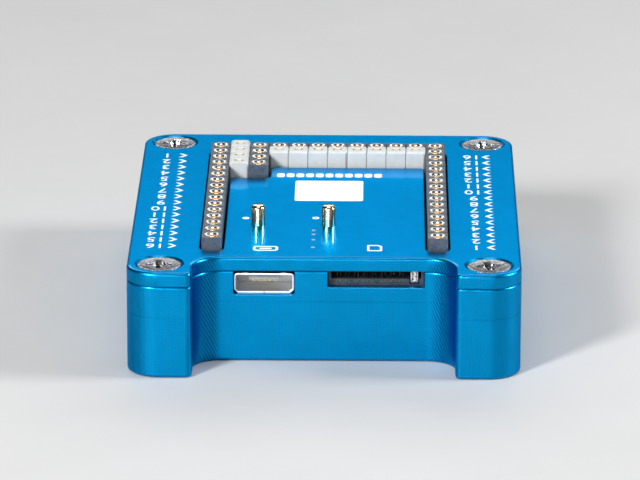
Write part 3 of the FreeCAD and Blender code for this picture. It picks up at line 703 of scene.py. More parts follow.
def make_finishes(settings):
    """Every material of the object."""
    speckle_group()
    tool_marks_group()
    case = settings.case_settings
    anodised_finish(tuple(case.blue), case.tool_pass_height)
    brass_finish()
    ink = tuple(settings.marking_settings.ink)
    steel = plain_finish("bright_screw", (0.15, 0.155, 0.16), (0.5, 0.51, 0.525), (0.18, 0.36), 2600.0,
                         bump=0.024, bump_scale=3400.0, Metallic=1.0)[1]
    steel.inputs["Specular Tint"].default_value = (0.6, 0.62, 0.66, 1.0)
    plain_finish("black_moulding", (0.04, 0.05, 0.066), (0.08, 0.096, 0.12), (0.3, 0.42), 2200.0,
                 bump=0.014, bump_scale=3000.0, Coat_Weight=0.3, Coat_Roughness=0.12,
                 Specular_IOR_Level=0.32)
    plain_finish("white_moulding", (0.47, 0.49, 0.49), (0.52, 0.54, 0.535), (0.34, 0.46), 1200.0,
                 bump=0.006)
    plain_finish("socket_moulding", (0.018, 0.022, 0.034), (0.034, 0.042, 0.06), (0.3, 0.42), 1600.0,
                 bump=0.01)
    plain_finish("tongue_moulding", (0.3, 0.31, 0.32), (0.4, 0.41, 0.42), (0.35, 0.5), 1600.0)
    plain_finish("contact_gold", (0.9, 0.6, 0.22), (0.98, 0.75, 0.38), (0.2, 0.32), 2600.0,
                 Metallic=1.0)
    plain_finish("solder_fillet", (0.6, 0.6, 0.61), (0.74, 0.74, 0.75), (0.2, 0.35), 2500.0, bump=0.01,
                 Metallic=1.0)
    plain_finish("tinned_sheet", (0.58, 0.58, 0.57), (0.72, 0.71, 0.7), (0.24, 0.36), 1500.0,
                 bump=0.005, Metallic=1.0)
    plain_finish("sleeve_plating", (0.74, 0.745, 0.73), (0.88, 0.88, 0.86), (0.2, 0.3), 2000.0,
                 Metallic=1.0)
    plain_finish("port_sheet", (0.8, 0.82, 0.84), (0.92, 0.93, 0.94), (0.32, 0.44), 700.0,
                 bump=0.006, bump_scale=3000.0, Metallic=1.0)
    plain_finish("bright_spring", (0.52, 0.52, 0.53), (0.66, 0.66, 0.67), (0.2, 0.3), 2200.0,
                 Metallic=1.0)
    plain_finish("dull_epoxy", (0.012, 0.012, 0.013), (0.03, 0.03, 0.032), (0.45, 0.6), 2600.0,
                 bump=0.012)
    plain_finish("fired_ceramic", (0.42, 0.3, 0.19), (0.55, 0.42, 0.3), (0.4, 0.55), 2000.0)
    plain_finish("lamp_resin", (0.72, 0.68, 0.48), (0.85, 0.8, 0.62), (0.12, 0.2), 1500.0)
    plain_finish("laminate_face", (0.008, 0.03, 0.024), (0.014, 0.05, 0.036), (0.2, 0.3), 700.0,
                 bump=0.006, bump_scale=1500.0)
    plain_finish("white_ink", tuple(value * 0.93 for value in ink), ink, (0.42, 0.55), 1800.0,
                 bump=0.004)
    plain_finish("milky_resin", (0.5, 0.62, 0.68), (0.66, 0.76, 0.8), (0.12, 0.2), 2000.0,
                 Transmission_Weight=0.4)


# ---------------------------------------------------------------- case
def case_corners(case):
    """The plan shape shared by tray and lid: a rounded block with a recess in front."""
    recess_y = CASE_LOW.y + in_mm(case.recess_depth)
    half = in_mm(case.recess_half_width)
    corner = in_mm(case.corner_radius)
    inner = in_mm(case.recess_inner_radius)
    edge = in_mm(case.recess_edge_radius)
    return [
        (CASE_HIGH.x, CASE_LOW.y, corner), (CASE_HIGH.x, CASE_HIGH.y, corner),
        (CASE_LOW.x, CASE_HIGH.y, corner), (CASE_LOW.x, CASE_LOW.y, corner),
        (-half, CASE_LOW.y, edge), (-half, recess_y, inner),
        (half, recess_y, inner), (half, CASE_LOW.y, edge),
    ]


def screw_places(screw):
    """The four corner screws."""
    x = CASE_HIGH.x - in_mm(screw.inset)
    y = CASE_HIGH.y - in_mm(screw.inset)
    return [(-x, -y), (x, -y), (-x, y), (x, y)]


def plunger_places():
    """Name, place and top height of each plunger."""
    found = []
    for name in ("reset", "user"):
        low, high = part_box(name + "_plunger")
        middle = (low + high) / 2 / MM
        found.append((name, middle.x, middle.y, high.z / MM))
    return found


def quarter_round(radius, steps):
    """(inset, rise) pairs of a rounded edge, from upright to flat."""
    pairs = []
    for step in range(steps + 1):
        angle = math.pi / 2 * step / steps
        pairs.append((radius * (1 - math.cos(angle)), radius * math.sin(angle)))
    return pairs


def make_tray(settings):
    """Milled tray with its pocket, ledge, notches and screw holes."""
    case = settings.case_settings
    corners = case_corners(case)
    edge = in_mm(case.edge_round)
    seam = in_mm(case.seam_round)
    line = in_mm(case.tool_pass_height)
    loops = [level(corners, edge - rise, inset) for inset, rise in reversed(quarter_round(edge, 5))]
    loops += [level(corners, line - 0.045), level(corners, line, 0.006), level(corners, line + 0.045)]
    loops += [level(corners, SEAM_Z - seam + rise, inset) for inset, rise in quarter_round(seam, 5)]
    tray = rough_object("case_tray", loft(loops))
    recess_y = CASE_LOW.y + in_mm(case.recess_depth)
    board_low, board_high = [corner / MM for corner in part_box("circuit_board")]
    gap = 0.2
    ledge = 1.6
    grown = (board_low.x - gap, board_high.x + gap, board_low.y - gap, board_high.y + gap)
    pocket = rectangle(*grown, 1.5)
    shrunk = (grown[0] + ledge, grown[1] - ledge, grown[2] + ledge, grown[3] - ledge)
    below = rectangle(*shrunk, 1.5)
    port = settings.port_settings
    port_x = in_mm(port.centre_x)
    carve(tray, loft([level(pocket, board_low.z), level(pocket, SEAM_Z - 0.06),
                      level(pocket, SEAM_Z + 0.2, -0.26)]))
    carve(tray, loft([level(below, 1.8), level(below, board_low.z + 0.1)]))
    flare = [(-1.0, -1.08), (-0.08, -0.16), (0.0, -0.08), (0.08, 0.0), (2.0, 0.0)]
    port_notch = rectangle(port_x - 3.75, port_x + 3.75, BOARD_TOP - 0.02, SEAM_Z + 2, 0.3)
    carve(tray, loft([upright(port_notch, recess_y + back, inset) for back, inset in flare]))
    card_notch = rectangle(CARD_X - CARD_HALF_WIDTH, CARD_X + CARD_HALF_WIDTH, CARD_FLOOR, SEAM_Z + 2, 0.15)
    carve(tray, loft([upright(card_notch, recess_y + back, inset) for back, inset in flare]))
    carve(tray, slab(0.195, 12.545, -21.95, -11.5, BOARD_TOP - 0.1, SEAM_Z + 1))
    low = LID_TOP - 8.58
    drilled = [(0, low - 0.9), (1.5, low), (1.5, SEAM_Z - 0.1), (1.75, SEAM_Z + 0.15), (0, SEAM_Z + 0.15)]
    carve(tray, together([lathe(drilled, x, y, 32) for x, y in screw_places(settings.screw_settings)]))
    finish_piece(tray, "case", ["base_tray"], "anodised_metal")


def header_opening():
    """Plan of the lid's opening for the headers: two slots and a stepped band behind."""
    slot = 1.5
    near = GRID_Y - 21.1
    far = GRID_Y + 20.8
    outer = HEADER_X + slot
    inner = HEADER_X - slot
    step_y = GRID_Y + 9.4
    band_y = GRID_Y + 14.0
    return [
        (-outer, near, 1.49), (-inner, near, 1.49), (-inner, step_y, 0.5), (-7.3, step_y, 0.8),
        (-7.3, band_y, 0.5), (inner, band_y, 0.5), (inner, near, 1.49), (outer, near, 1.49),
        (outer, far, 1.0), (-outer, far, 1.0),
    ]


def make_lid(settings):
    """Cover plate with its countersinks, header opening, holes and board ribs."""
    case = settings.case_settings
    corners = case_corners(case)
    edge = in_mm(case.edge_round)
    loops = [level(corners, SEAM_Z, 0.12), level(corners, SEAM_Z + 0.035, 0.035),
             level(corners, SEAM_Z + 0.12)]
    loops += [level(corners, LID_TOP - edge + rise, inset) for inset, rise in quarter_round(edge, 6)]
    lid = rough_object("case_lid", loft(loops))
    ribs = [slab(x - 0.45, x + 0.45, -16.5, 17.5, BOARD_TOP, SEAM_Z + 0.3) for x in (-16.3, 16.3)]
    carve(lid, together(ribs), "UNION")
    opening = header_opening()
    carve(lid, loft([level(opening, UNDER_LID), level(opening, LID_TOP - 0.09),
                     level(opening, LID_TOP, -0.09), level(opening, LID_TOP + 0.3, -0.39)]))
    holes = []
    for x, y in screw_places(settings.screw_settings):
        holes.append(lathe([(0, UNDER_LID), (1.6, UNDER_LID), (1.6, LID_TOP - 1.45), (3.05, LID_TOP),
                            (3.35, LID_TOP + 0.3), (0, LID_TOP + 0.3)], x, y, 64))
    hole = in_mm(settings.plunger_settings.radius) + 0.05
    for _, x, y, _ in plunger_places():
        holes.append(lathe([(0, UNDER_LID), (hole, UNDER_LID), (hole, LID_TOP - 0.06), (hole + 0.06, LID_TOP),
                            (hole + 0.26, LID_TOP + 0.2), (0, LID_TOP + 0.2)], x, y, 40))
    for y in LIGHT_ROWS:
        holes.append(lathe([(0, UNDER_LID), (0.25, UNDER_LID), (0.25, LID_TOP - 0.03), (0.28, LID_TOP),
                            (0.48, LID_TOP + 0.2), (0, LID_TOP + 0.2)], LIGHT_X, y, 20))
    carve(lid, together(holes))
    finish_piece(lid, "case", ["lid"], "anodised_metal")


def make_screws(settings):
    """Countersunk cross-head screws in the corners."""
    screw = settings.screw_settings
    head = in_mm(screw.head_radius)
    shank = in_mm(screw.shank_radius)
    top = LID_TOP - 0.08
    neck = top - 0.25 - (head - shank)
    profile = [(0, top - 8.0), (shank - 0.25, top - 8.0), (shank, top - 7.75), (shank, neck),
               (head - 0.03, top - 0.25), (head, top - 0.2), (head, top - 0.14), (head - 0.04, top - 0.05),
               (head - 0.12, top), (head - 0.3, top + 0.012), (head - 0.42, top - 0.02), (0, top - 0.02)]
    pattern = rough_object("screw_pattern", lathe(profile, 0, 0, 64))
    long = in_mm(screw.cross_length) / 2
    wide = in_mm(screw.cross_width) / 2
    for turned in (False, True):
        loops = []
        for z, length, width in ((top - 1.1, long * 0.5, wide * 0.5), (top - 0.9, long * 0.72, wide * 0.66),
                                 (top - 0.06, long, wide * 0.92), (top + 0.2, long + 0.15, wide + 0.2)):
            if turned:
                length, width = width, length
            loops.append([(-length, -width, z), (length, -width, z), (length, width, z), (-length, width, z)])
        carve(pattern, loft(loops))
    centre = [(0, top - 1.7), (0.3, top - 1.3), (0.85, top - 0.2), (1.0, top + 0.2), (0, top + 0.2)]
    carve(pattern, lathe(centre, 0, 0, 24))
    far = screw_places(screw)[-1]
    screws = grow("lid_screw_set", corner_tree(), {
        "Screw": pattern, "Width": far[0] * 2, "Depth": far[1] * 2, "Twist": screw.twist,
        "Seed": screw.seed, "Material": bpy.data.materials["bright_screw"]})
    drop(pattern)
    finish_piece(screws, "case", ["lid_screws"], "bright_screw")


# ---------------------------------------------------------------- headers
def grid_place(column, row):
    """Column 0 is the left long header, row 0 is the rearmost socket."""
    return column * PITCH - HEADER_X, REAR_ROW_Y - row * PITCH


STRIPS = {
    "left_header": [((0, 0), (0, 15))],
    "right_header": [((11, 0), (11, 15))],
    "aux_white_header": [((1, 0), (1, 3))],
    "aux_black_header": [((2, 0), (2, 3))],
    "rear_black_header": [((3, 0), (6, 0)), ((7, 0), (10, 0))],
    "rear_white_header": [((3, 1), (6, 1)), ((7, 1), (10, 1))],
}


def bar_section(half, low, top, bend, side_inset, top_inset):
    """One cross-section of a strip, as (across, z) points."""
    half -= side_inset
    top -= top_inset
    points = [(-half, low), (half, low)]
    for side in (1, -1):
        for step in range(5):
            angle = math.pi / 2 * step / 4
            if side < 0:
                angle = math.pi / 2 - angle
            across = side * (half - bend + bend * math.cos(angle))
            points.append((across, top - bend + bend * math.sin(angle)))
    return points


def header_bar(header, first, last, top, bend):
    """The moulded strip before its sockets are cut."""
    pitch = in_mm(header.pitch)
    half = in_mm(header.half_width)
    notch = in_mm(header.joint_depth)
    start = Vector(grid_place(*first))
    end = Vector(grid_place(*last))
    along = (end - start).normalized()
    across = Vector((-along.y, along.x))
    length = (end - start).length
    reach = pitch / 2 - 0.02
    stations = [(-reach, 0.25, 0.06), (-reach + 0.06, 0.19, 0.0), (-reach + 0.25, 0.0, 0.0)]
    count = round(length / pitch)
    for index in range(count):
        middle = (index + 0.5) * pitch
        stations += [(middle - 0.13, 0.0, 0.0), (middle - 0.03, notch, notch),
                     (middle + 0.03, notch, notch), (middle + 0.13, 0.0, 0.0)]
    stations += [(length + reach - 0.25, 0.0, 0.0), (length + reach - 0.06, 0.19, 0.0),
                 (length + reach, 0.25, 0.06)]
    loops = []
    for distance, side_inset, top_inset in stations:
        loop = []
        for offset, z in bar_section(half, BOARD_TOP, top, bend, side_inset, top_inset):
            place = start + along * distance + across * offset
            loop.append((place.x, place.y, z))
        loops.append(loop)
    return rough_object("bar", loft(loops))


def ribbon(path, y0, y1, thickness):
    """A bent leaf: a path in X and Z, as wide as y0 to y1."""
    loops = []
    for index, (x, z) in enumerate(path):
        before = Vector(path[max(index - 1, 0)])
        after = Vector(path[min(index + 1, len(path) - 1)])
        along = (after - before).normalized()
        side = Vector((-along.y, along.x)) * thickness / 2
        loops.append([(x - side.x, y0, z - side.y), (x + side.x, y0, z + side.y),
                      (x + side.x, y1, z + side.y), (x - side.x, y1, z - side.y)])
    return loft(loops)


def forked_contact_shape(top):
    """A forked contact with flared lips and a tail."""
    low = BOARD_TOP + 0.5
    shapes = [slab(-0.4, 0.4, -0.22, 0.22, low, low + 0.8),
              slab(-0.3, 0.3, -0.15, 0.15, TAIL_END, low + 0.1)]
    for side in (-1, 1):
        path = [(0.32, low + 0.5), (0.3, top - 2.6), (0.16, top - 1.3), (0.14, top - 1.0), (0.18, top - 0.5),
                (0.28, top - 0.18), (0.46, top - 0.06)]
        shapes.append(ribbon([(side * x, z) for x, z in path], -0.37, 0.37, 0.12))
    return together(shapes)


def sleeve_shape(header, top):
    """A turned sleeve: flared rim, cone that guides the pin, bore, and tail."""
    rim = in_mm(header.rim_radius)
    sleeve = in_mm(header.sleeve_radius)
    bore = in_mm(header.bore_radius)
    foot = top - SLEEVE_LENGTH
    return lathe([
        (0, foot + 0.4), (bore, foot + 0.4), (bore, top - 0.24), (bore + 0.03, top - 0.2),
        (rim - 0.15, top - 0.02), (rim - 0.1, top + 0.012), (rim - 0.05, top + 0.015), (rim, top - 0.03),
        (rim, top - 0.2), (sleeve, top - 0.2), (sleeve, foot + 0.1), (sleeve - 0.1, foot), (0.25, foot),
        (0.25, TAIL_END + 0.1), (0.15, TAIL_END), (0, TAIL_END)], 0, 0, 32)


def clip_shape(header, top):
    """The clip in a sleeve: a collar, and four fingers that lean in to grip the pin."""
    outside = in_mm(header.bore_radius) - 0.01
    high = top - 0.2
    shapes = []
    collar = [(outside, high), (outside, high - 0.45), (outside - 0.05, high - 0.45), (outside - 0.05, high)]
    loops = [[(radius * math.cos(angle), radius * math.sin(angle), z) for radius, z in collar]
             for angle in [math.pi * step / 12 for step in range(24)]]
    shapes.append(loft(loops, ring=True))
    for quarter in range(4):
        turned = Matrix.Rotation(math.pi / 4 + quarter * math.pi / 2, 3, "Z")
        path = [(outside - 0.03, high - 0.05), (0.36, high - 0.35), (0.26, high - 0.9), (0.3, high - 1.7)]
        points, faces = ribbon(path, -0.17, 0.17, 0.05)
        shapes.append(([tuple(turned @ Vector(point)) for point in points], faces))
    return together(shapes)


def socket_cutter(header, top, white):
    """What is cut from a strip for one contact."""
    if white:
        wide = in_mm(header.slot_width) / 2
        deep = in_mm(header.slot_depth) / 2
        corners = rectangle(-wide, wide, -deep, deep, 0.08)
        return loft([level(corners, top - SLEEVE_LENGTH, 0.12), level(corners, top - 0.3, 0.08),
                     level(corners, top - 0.06), level(corners, top + 0.1, -0.12)])
    rim = in_mm(header.rim_radius) + 0.012
    sleeve = in_mm(header.sleeve_radius) + 0.012
    return lathe([(0, top - 3.25), (sleeve, top - 3.25), (sleeve, top - 0.21), (rim, top - 0.21),
                  (rim, top - 0.05), (rim + 0.05, top), (rim + 0.25, top + 0.2), (0, top + 0.2)], 0, 0, 32)


def make_header(settings, name):
    """One header: its moulded strips and its row of contacts."""
    header = settings.header_settings
    white = "white" in name
    top = WHITE_TOP if white else BLACK_TOP
    finish = "white_moulding" if white else "black_moulding"
    hole = rough_object("socket", socket_cutter(header, top, white))
    if white:
        contacts = {"contacts": (forked_contact_shape(top), "gold_contact", "contact_gold")}
    else:
        contacts = {"sleeves": (sleeve_shape(header, top), "plated_sleeve", "sleeve_plating"),
                    "clips": (clip_shape(header, top), "gold_contact", "contact_gold")}
    bars = []
    places = []
    for first, last in STRIPS[name]:
        start = grid_place(*first)
        end = grid_place(*last)
        count = max(abs(first[0] - last[0]), abs(first[1] - last[1])) + 1
        step = ((end[0] - start[0]) / (count - 1), (end[1] - start[1]) / (count - 1), 0.0)
        places.append({"Count": count, "Start": (start[0], start[1], 0.0), "Step": step})
        bar = header_bar(header, first, last, top, 0.3 if white else 0.14)
        bars.append(grow("strip", socket_tree(), {
            "Bar": bar, "Socket": hole, "Material": bpy.data.materials[finish], **places[-1]}))
        drop(bar)
    drop(hole)
    housing = merge(name + "_strip", bars)
    slot = "white_plastic" if white else "black_plastic"
    finish_piece(housing, "case", [name + "_housing"], finish)
    for kind, (shape, slot, finish) in contacts.items():
        pattern = rough_object("contact", shape)
        rows = [grow("row", line_tree(), {
            "Piece": pattern, "Material": bpy.data.materials[finish], **place}) for place in places]
        drop(pattern)
        row = merge(name + "_" + kind + "_set", rows)
        finish_piece(row, "case", [name + "_" + kind], finish)


def merge(name, things):
    """Several helper objects as one object."""
    shapes = []
    for thing in things:
        mesh = thing.data
        shapes.append(([tuple(vertex.co) for vertex in mesh.vertices],
                       [tuple(face.vertices) for face in mesh.polygons]))
        drop(thing)
    return rough_object(name, together(shapes))


# ---------------------------------------------------------------- plungers
def make_plungers(settings):
    """Turned plungers with a collar below the lid."""
    plunger = settings.plunger_settings
    radius = in_mm(plunger.radius)
    collar = in_mm(plunger.flange_radius)
    bevel = in_mm(plunger.chamfer)
    for name, x, y, top in plunger_places():
        low = SEAM_Z - 0.55
        high = SEAM_Z - 0.05
        profile = [(0, low), (collar - 0.05, low), (collar, low + 0.05), (collar, high - 0.05),
                   (collar - 0.05, high), (radius, high), (radius, top - bevel - 0.03),
                   (radius - 0.02, top - bevel + 0.02), (radius - bevel + 0.05, top - 0.04),
                   (radius - bevel - 0.02, top), (0.24, top), (0.2, top - 0.03), (0.05, top - 0.14),
                   (0, top - 0.15)]
        shaft = rough_object(name + "_pin", lathe(profile, x, y, 48))
        finish_piece(shaft, name + "_button", [name + "_plunger"], "turned_brass")


# ---------------------------------------------------------------- port and card slot
def port_corners(port):
    """The port's section: square shoulders above, slanted corners below."""
    left = in_mm(port.centre_x - port.width / 2)
    right = in_mm(port.centre_x + port.width / 2)
    high = BOARD_TOP + in_mm(port.height)
    slant = 0.45
    return [(left + slant, BOARD_TOP, 0.35), (right - slant, BOARD_TOP, 0.35),
            (right, BOARD_TOP + slant, 0.35), (right, high, 0.4), (left, high, 0.4),
            (left, BOARD_TOP + slant, 0.35)]


def make_port(settings):
    """Folded steel shell with a rolled mouth, its insulator and its contacts."""
    port = settings.port_settings
    corners = port_corners(port)
    wall = in_mm(port.wall)
    lip = in_mm(port.lip)
    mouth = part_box("usb_shell")[0].y / MM
    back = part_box("usb_shell")[1].y / MM
    x = in_mm(port.centre_x)
    outer = [(back, 0.0), (mouth + 0.55, 0.0), (mouth + 0.3, -lip * 0.2), (mouth + 0.12, -lip * 0.4),
             (mouth + 0.03, -lip * 0.2)]
    inner = [(mouth, 0.06), (mouth + 0.01, 0.14), (mouth + 0.06, 0.22), (mouth + 0.3, wall + 0.02),
             (back, wall)]
    loops = [upright(corners, y, inset) for y, inset in outer + inner]
    shell = rough_object("port_shell", loft(loops, ring=True))
    carve(shell, slab(x - 0.05, x + 0.05, mouth - 1, back + 1, BOARD_TOP - 1, BOARD_TOP + wall - 0.06))
    for side in (-1, 1):
        tab_x = x + side * 2.35
        high = BOARD_TOP + in_mm(port.height)
        bends = [(mouth + 0.25, high - 0.06), (mouth + 0.6, high + 0.08), (mouth + 1.6, high + 0.06),
                 (mouth + 2.2, high - 0.08)]
        tab = loft([[(tab_x - 0.32, y, z), (tab_x + 0.32, y, z), (tab_x + 0.32, y, z + 0.12),
                     (tab_x - 0.32, y, z + 0.12)] for y, z in bends])
        carve(shell, tab, "UNION")
    finish_piece(shell, "case", ["usb_shell"], "port_sheet")
    tongue_front = mouth + 1.1
    tongue_loops = [upright(rectangle(x - 1.9, x + 1.9, 9.95, 10.5, 0.12), y, inset)
                    for y, inset in ((tongue_front, 0.08), (tongue_front + 0.08, 0.0), (back - 0.5, 0.0))]
    tongue = rough_object("port_tongue", loft(tongue_loops))
    plug = loft([upright(corners, back - 1.4, wall + 0.02), upright(corners, back - 0.02, wall + 0.02)])
    carve(tongue, plug, "UNION")
    finish_piece(tongue, "case", ["usb_tongue"], "tongue_moulding")
    leaf = rough_object("leaf", slab(-0.175, 0.175, tongue_front - 0.02, tongue_front + 2.4, 9.84, 9.96))
    leaves = grow("port_leaves", line_tree(), {
        "Piece": leaf, "Count": 5, "Start": (x - 1.3, 0.0, 0.0), "Step": (0.65, 0.0, 0.0),
        "Material": bpy.data.materials["contact_gold"]})
    drop(leaf)
    finish_piece(leaves, "case", ["usb_contacts"], "contact_gold")


def make_card_slot(settings):
    """Card contacts with forked tips, and the sliding ejector."""
    pitch = in_mm(settings.port_settings.card_contact_pitch)
    low, high = [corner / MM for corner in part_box("card_socket_contacts")]
    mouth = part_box("card_socket_body")[0].y / MM
    top = 10.5
    shapes = []
    for side in (-1, 1):
        x = side * 0.185
        path = [(mouth - 0.05, top - 0.5), (mouth - 0.12, top - 0.44), (mouth - 0.13, top - 0.38),
                (mouth - 0.09, top - 0.33), (mouth + 0.1, top - 0.32),
                (mouth + 0.35, top - 0.2), (mouth + 0.6, top - 0.06), (mouth + 0.9, top),
                (mouth + 5.6, top), (mouth + 6.4, top + 0.32), (mouth + 6.7, top + 0.34),
                (mouth + 7.2, top + 0.1), (mouth + 7.9, top)]
        points, faces = ribbon(path, x - 0.09, x + 0.09, 0.1)
        shapes.append(([(b, a, c) for a, b, c in points], faces))
    leaf = rough_object("leaf", together(shapes))
    start = (low.x + high.x) / 2 - 3.5 * pitch
    leaves = grow("card_leaves", line_tree(), {
        "Piece": leaf, "Count": 8, "Start": (start, 0.0, 0.0), "Step": (pitch, 0.0, 0.0),
        "Material": bpy.data.materials["contact_gold"]})
    drop(leaf)
    finish_piece(leaves, "case", ["card_socket_contacts"], "contact_gold")
    low, high = [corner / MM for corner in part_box("card_slider")]
    outline = rectangle(low.x, high.x, low.y, high.y, 0.08)
    slider = rough_object("ejector_slider", loft([
        level(outline, low.z, 0.05), level(outline, low.z + 0.05), level(outline, high.z - 0.05),
        level(outline, high.z, 0.05)]))
    channel = rectangle(low.x + 0.2, high.x - 0.2, low.y - 1, high.y - 0.4, 0.05)
    carve(slider, loft([level(channel, low.z + 0.2), level(channel, high.z + 1)]))
    finish_piece(slider, "card_ejector", ["card_slider"], "bright_spring")


# ---------------------------------------------------------------- markings
def figure_shape(words, height, x, y, low, thickness):
    """Numbers drawn in ink, read from the far side of the case."""
    curve = bpy.data.curves.new("figures", "FONT")
    curve.body = words
    curve.size = height * 1.42
    curve.align_x = "CENTER"
    curve.align_y = "CENTER"
    curve.offset = 0.004
    curve.extrude = thickness / 2
    curve.resolution_u = 3
    letters = bpy.data.objects.new("figures", curve)
    bpy.context.scene.collection.objects.link(letters)
    bpy.context.view_layer.update()
    graph = bpy.context.evaluated_depsgraph_get()
    mesh = bpy.data.meshes.new_from_object(letters.evaluated_get(graph))
    middle = low + thickness / 2
    points = [(x - vertex.co.x, y - vertex.co.y, middle + vertex.co.z) for vertex in mesh.vertices]
    faces = [tuple(face.vertices) for face in mesh.polygons]
    bpy.data.objects.remove(letters)
    bpy.data.curves.remove(curve)
    bpy.data.meshes.remove(mesh)
    return points, faces


def ink_patch(corners, low, high):
    """A flat printed patch with slightly rounded corners."""
    return loft([level(corners, low), level(corners, high)])


def ink_frame(corners, width, low, high):
    """A printed outline of even width."""
    return loft([level(corners, low), level(corners, high), level(corners, high, width),
                 level(corners, low, width)], ring=True)


def make_markings(settings):
    """Row numbers, pointers, a plain panel and simple signs beside the port, slot and plungers."""
    marking = settings.marking_settings
    thickness = in_mm(marking.thickness)
    low = LID_TOP - 0.004
    high = LID_TOP + thickness
    tall = in_mm(marking.figure_height)
    shapes = []
    for row in range(ROWS):
        y = grid_place(0, row)[1]
        shapes.append(figure_shape(str(row + 1), tall, -21.0, y, low, thickness))
        shapes.append(figure_shape(str(ROWS - row), tall, 18.75, y, low, thickness))
    shapes.append(ink_patch(rectangle(-4.05, 4.65, 0.2, 8.75, 0.35), low, high))
    shapes.append(ink_frame(rectangle(-8.85, -5.75, -20.3, -18.5, 0.5), 0.3, low, high))
    shapes.append(ink_patch(rectangle(-8.05, -6.55, -19.6, -19.2, 0.12), low, high))
    card = [(5.25, -20.2, 0.2), (7.1, -20.2, 0.2), (7.1, -18.3, 0.2), (6.6, -17.85, 0.2), (5.25, -17.85, 0.2)]
    shapes.append(ink_frame(card, 0.28, low, high))
    shapes.append(ink_patch(rectangle(-10.5, -9.6, -7.55, -6.75, 0.38), low, high))
    shapes.append(ink_frame(rectangle(-1.7, -0.8, -7.4, -6.5, 0.44), 0.24, low, high))
    marks = rough_object("printed_marks", together(shapes))
    finish_piece(marks, "case", [], "white_ink")
    dash = rough_object("dash", ink_patch(rectangle(0.0, 1.0, 10.3, 11.9, 0.4), low, high))
    dashes = grow("dashes", line_tree(), {
        "Piece": dash, "Count": 11, "Start": (-6.5, 0.0, 0.0), "Step": (1.255, 0.0, 0.0),
        "Material": bpy.data.materials["white_ink"]})
    drop(dash)
    finish_piece(dashes, "case", [], "white_ink")
    for side, x in ((1, -18.95), (-1, 20.65)):
        tip = 0.5 * side
        pointer = loft([[(-tip, -0.75, z), (-tip + 0.42 * side, -0.75, z), (tip + 0.1 * side, 0.0, z),
                         (-tip + 0.42 * side, 0.75, z), (-tip, 0.75, z), (tip - 0.32 * side, 0.0, z)]
                        for z in (low, high)])
        pattern = rough_object("pointer", pointer)
        row = grow("pointers_left" if side > 0 else "pointers_right", line_tree(), {
            "Piece": pattern, "Count": ROWS, "Start": (x, REAR_ROW_Y, 0.0), "Step": (0.0, -PITCH, 0.0),
            "Material": bpy.data.materials["white_ink"]})
        drop(pattern)
        finish_piece(row, "case", [], "white_ink")


# ---------------------------------------------------------------- inside
NODE_FINISHES = {
    "laminate_face": ["circuit_board"],
    "solder_fillet": ["header_solder_joints"],
    "dull_epoxy": ["processor_body", "clock_crystal", "regulator_body", "motion_sensor", "chip_resistors"],
    "tinned_sheet": ["processor_leads", "main_crystal", "regulator_leads", "reset_switch_plate",
                     "user_switch_plate"],
    "fired_ceramic": ["ceramic_capacitors"],
    "lamp_resin": ["status_leds"],
    "black_moulding": ["reset_switch_housing", "user_switch_housing", "reset_switch_stem",
                       "user_switch_stem"],
    "socket_moulding": ["card_socket_body"],
    "port_sheet": ["card_socket_cover"],
    "milky_resin": ["light_windows"],
}


def make_springs():
    """The two snap domes and the ejector's spring, copied from their CAD shapes and finished."""
    for node, joint, axis in (("reset_switch_dome", "reset_press", 2),
                              ("user_switch_dome", "user_press", 2),
                              ("card_slider_spring", "card_push", 1)):
        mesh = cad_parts[node].data.copy()
        mesh.transform(Matrix.Scale(1 / MM, 4))
        spring = bpy.data.objects.new(node + "_flexing", mesh)
        bpy.context.scene.collection.objects.link(spring)
        finish_piece(spring, "case", [node], "bright_spring")
        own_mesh(spring)


def dress_inside():
    """Finishes for the pieces whose CAD shape is shown as it is."""
    for finish, nodes in NODE_FINISHES.items():
        for name in nodes:
            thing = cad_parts[name]
            if not thing.material_slots:
                thing.data.materials.append(bpy.data.materials[finish])
            for holder in thing.material_slots:
                holder.material = bpy.data.materials[finish]


# ---------------------------------------------------------------- stage
def soft_light(name, place, aim, width, height, power):
    """A rectangular soft light that points at a place."""
    data = bpy.data.lights.new(name, "AREA")
    data.shape = "RECTANGLE"
    data.size = width
    data.size_y = height
    data.energy = power
    lamp = bpy.data.objects.new(name, data)
    bpy.context.scene.collection.objects.link(lamp)
    lamp.location = place
    lamp.rotation_mode = "QUATERNION"
    lamp.rotation_quaternion = (Vector(aim) - Vector(place)).to_track_quat("-Z", "Y")


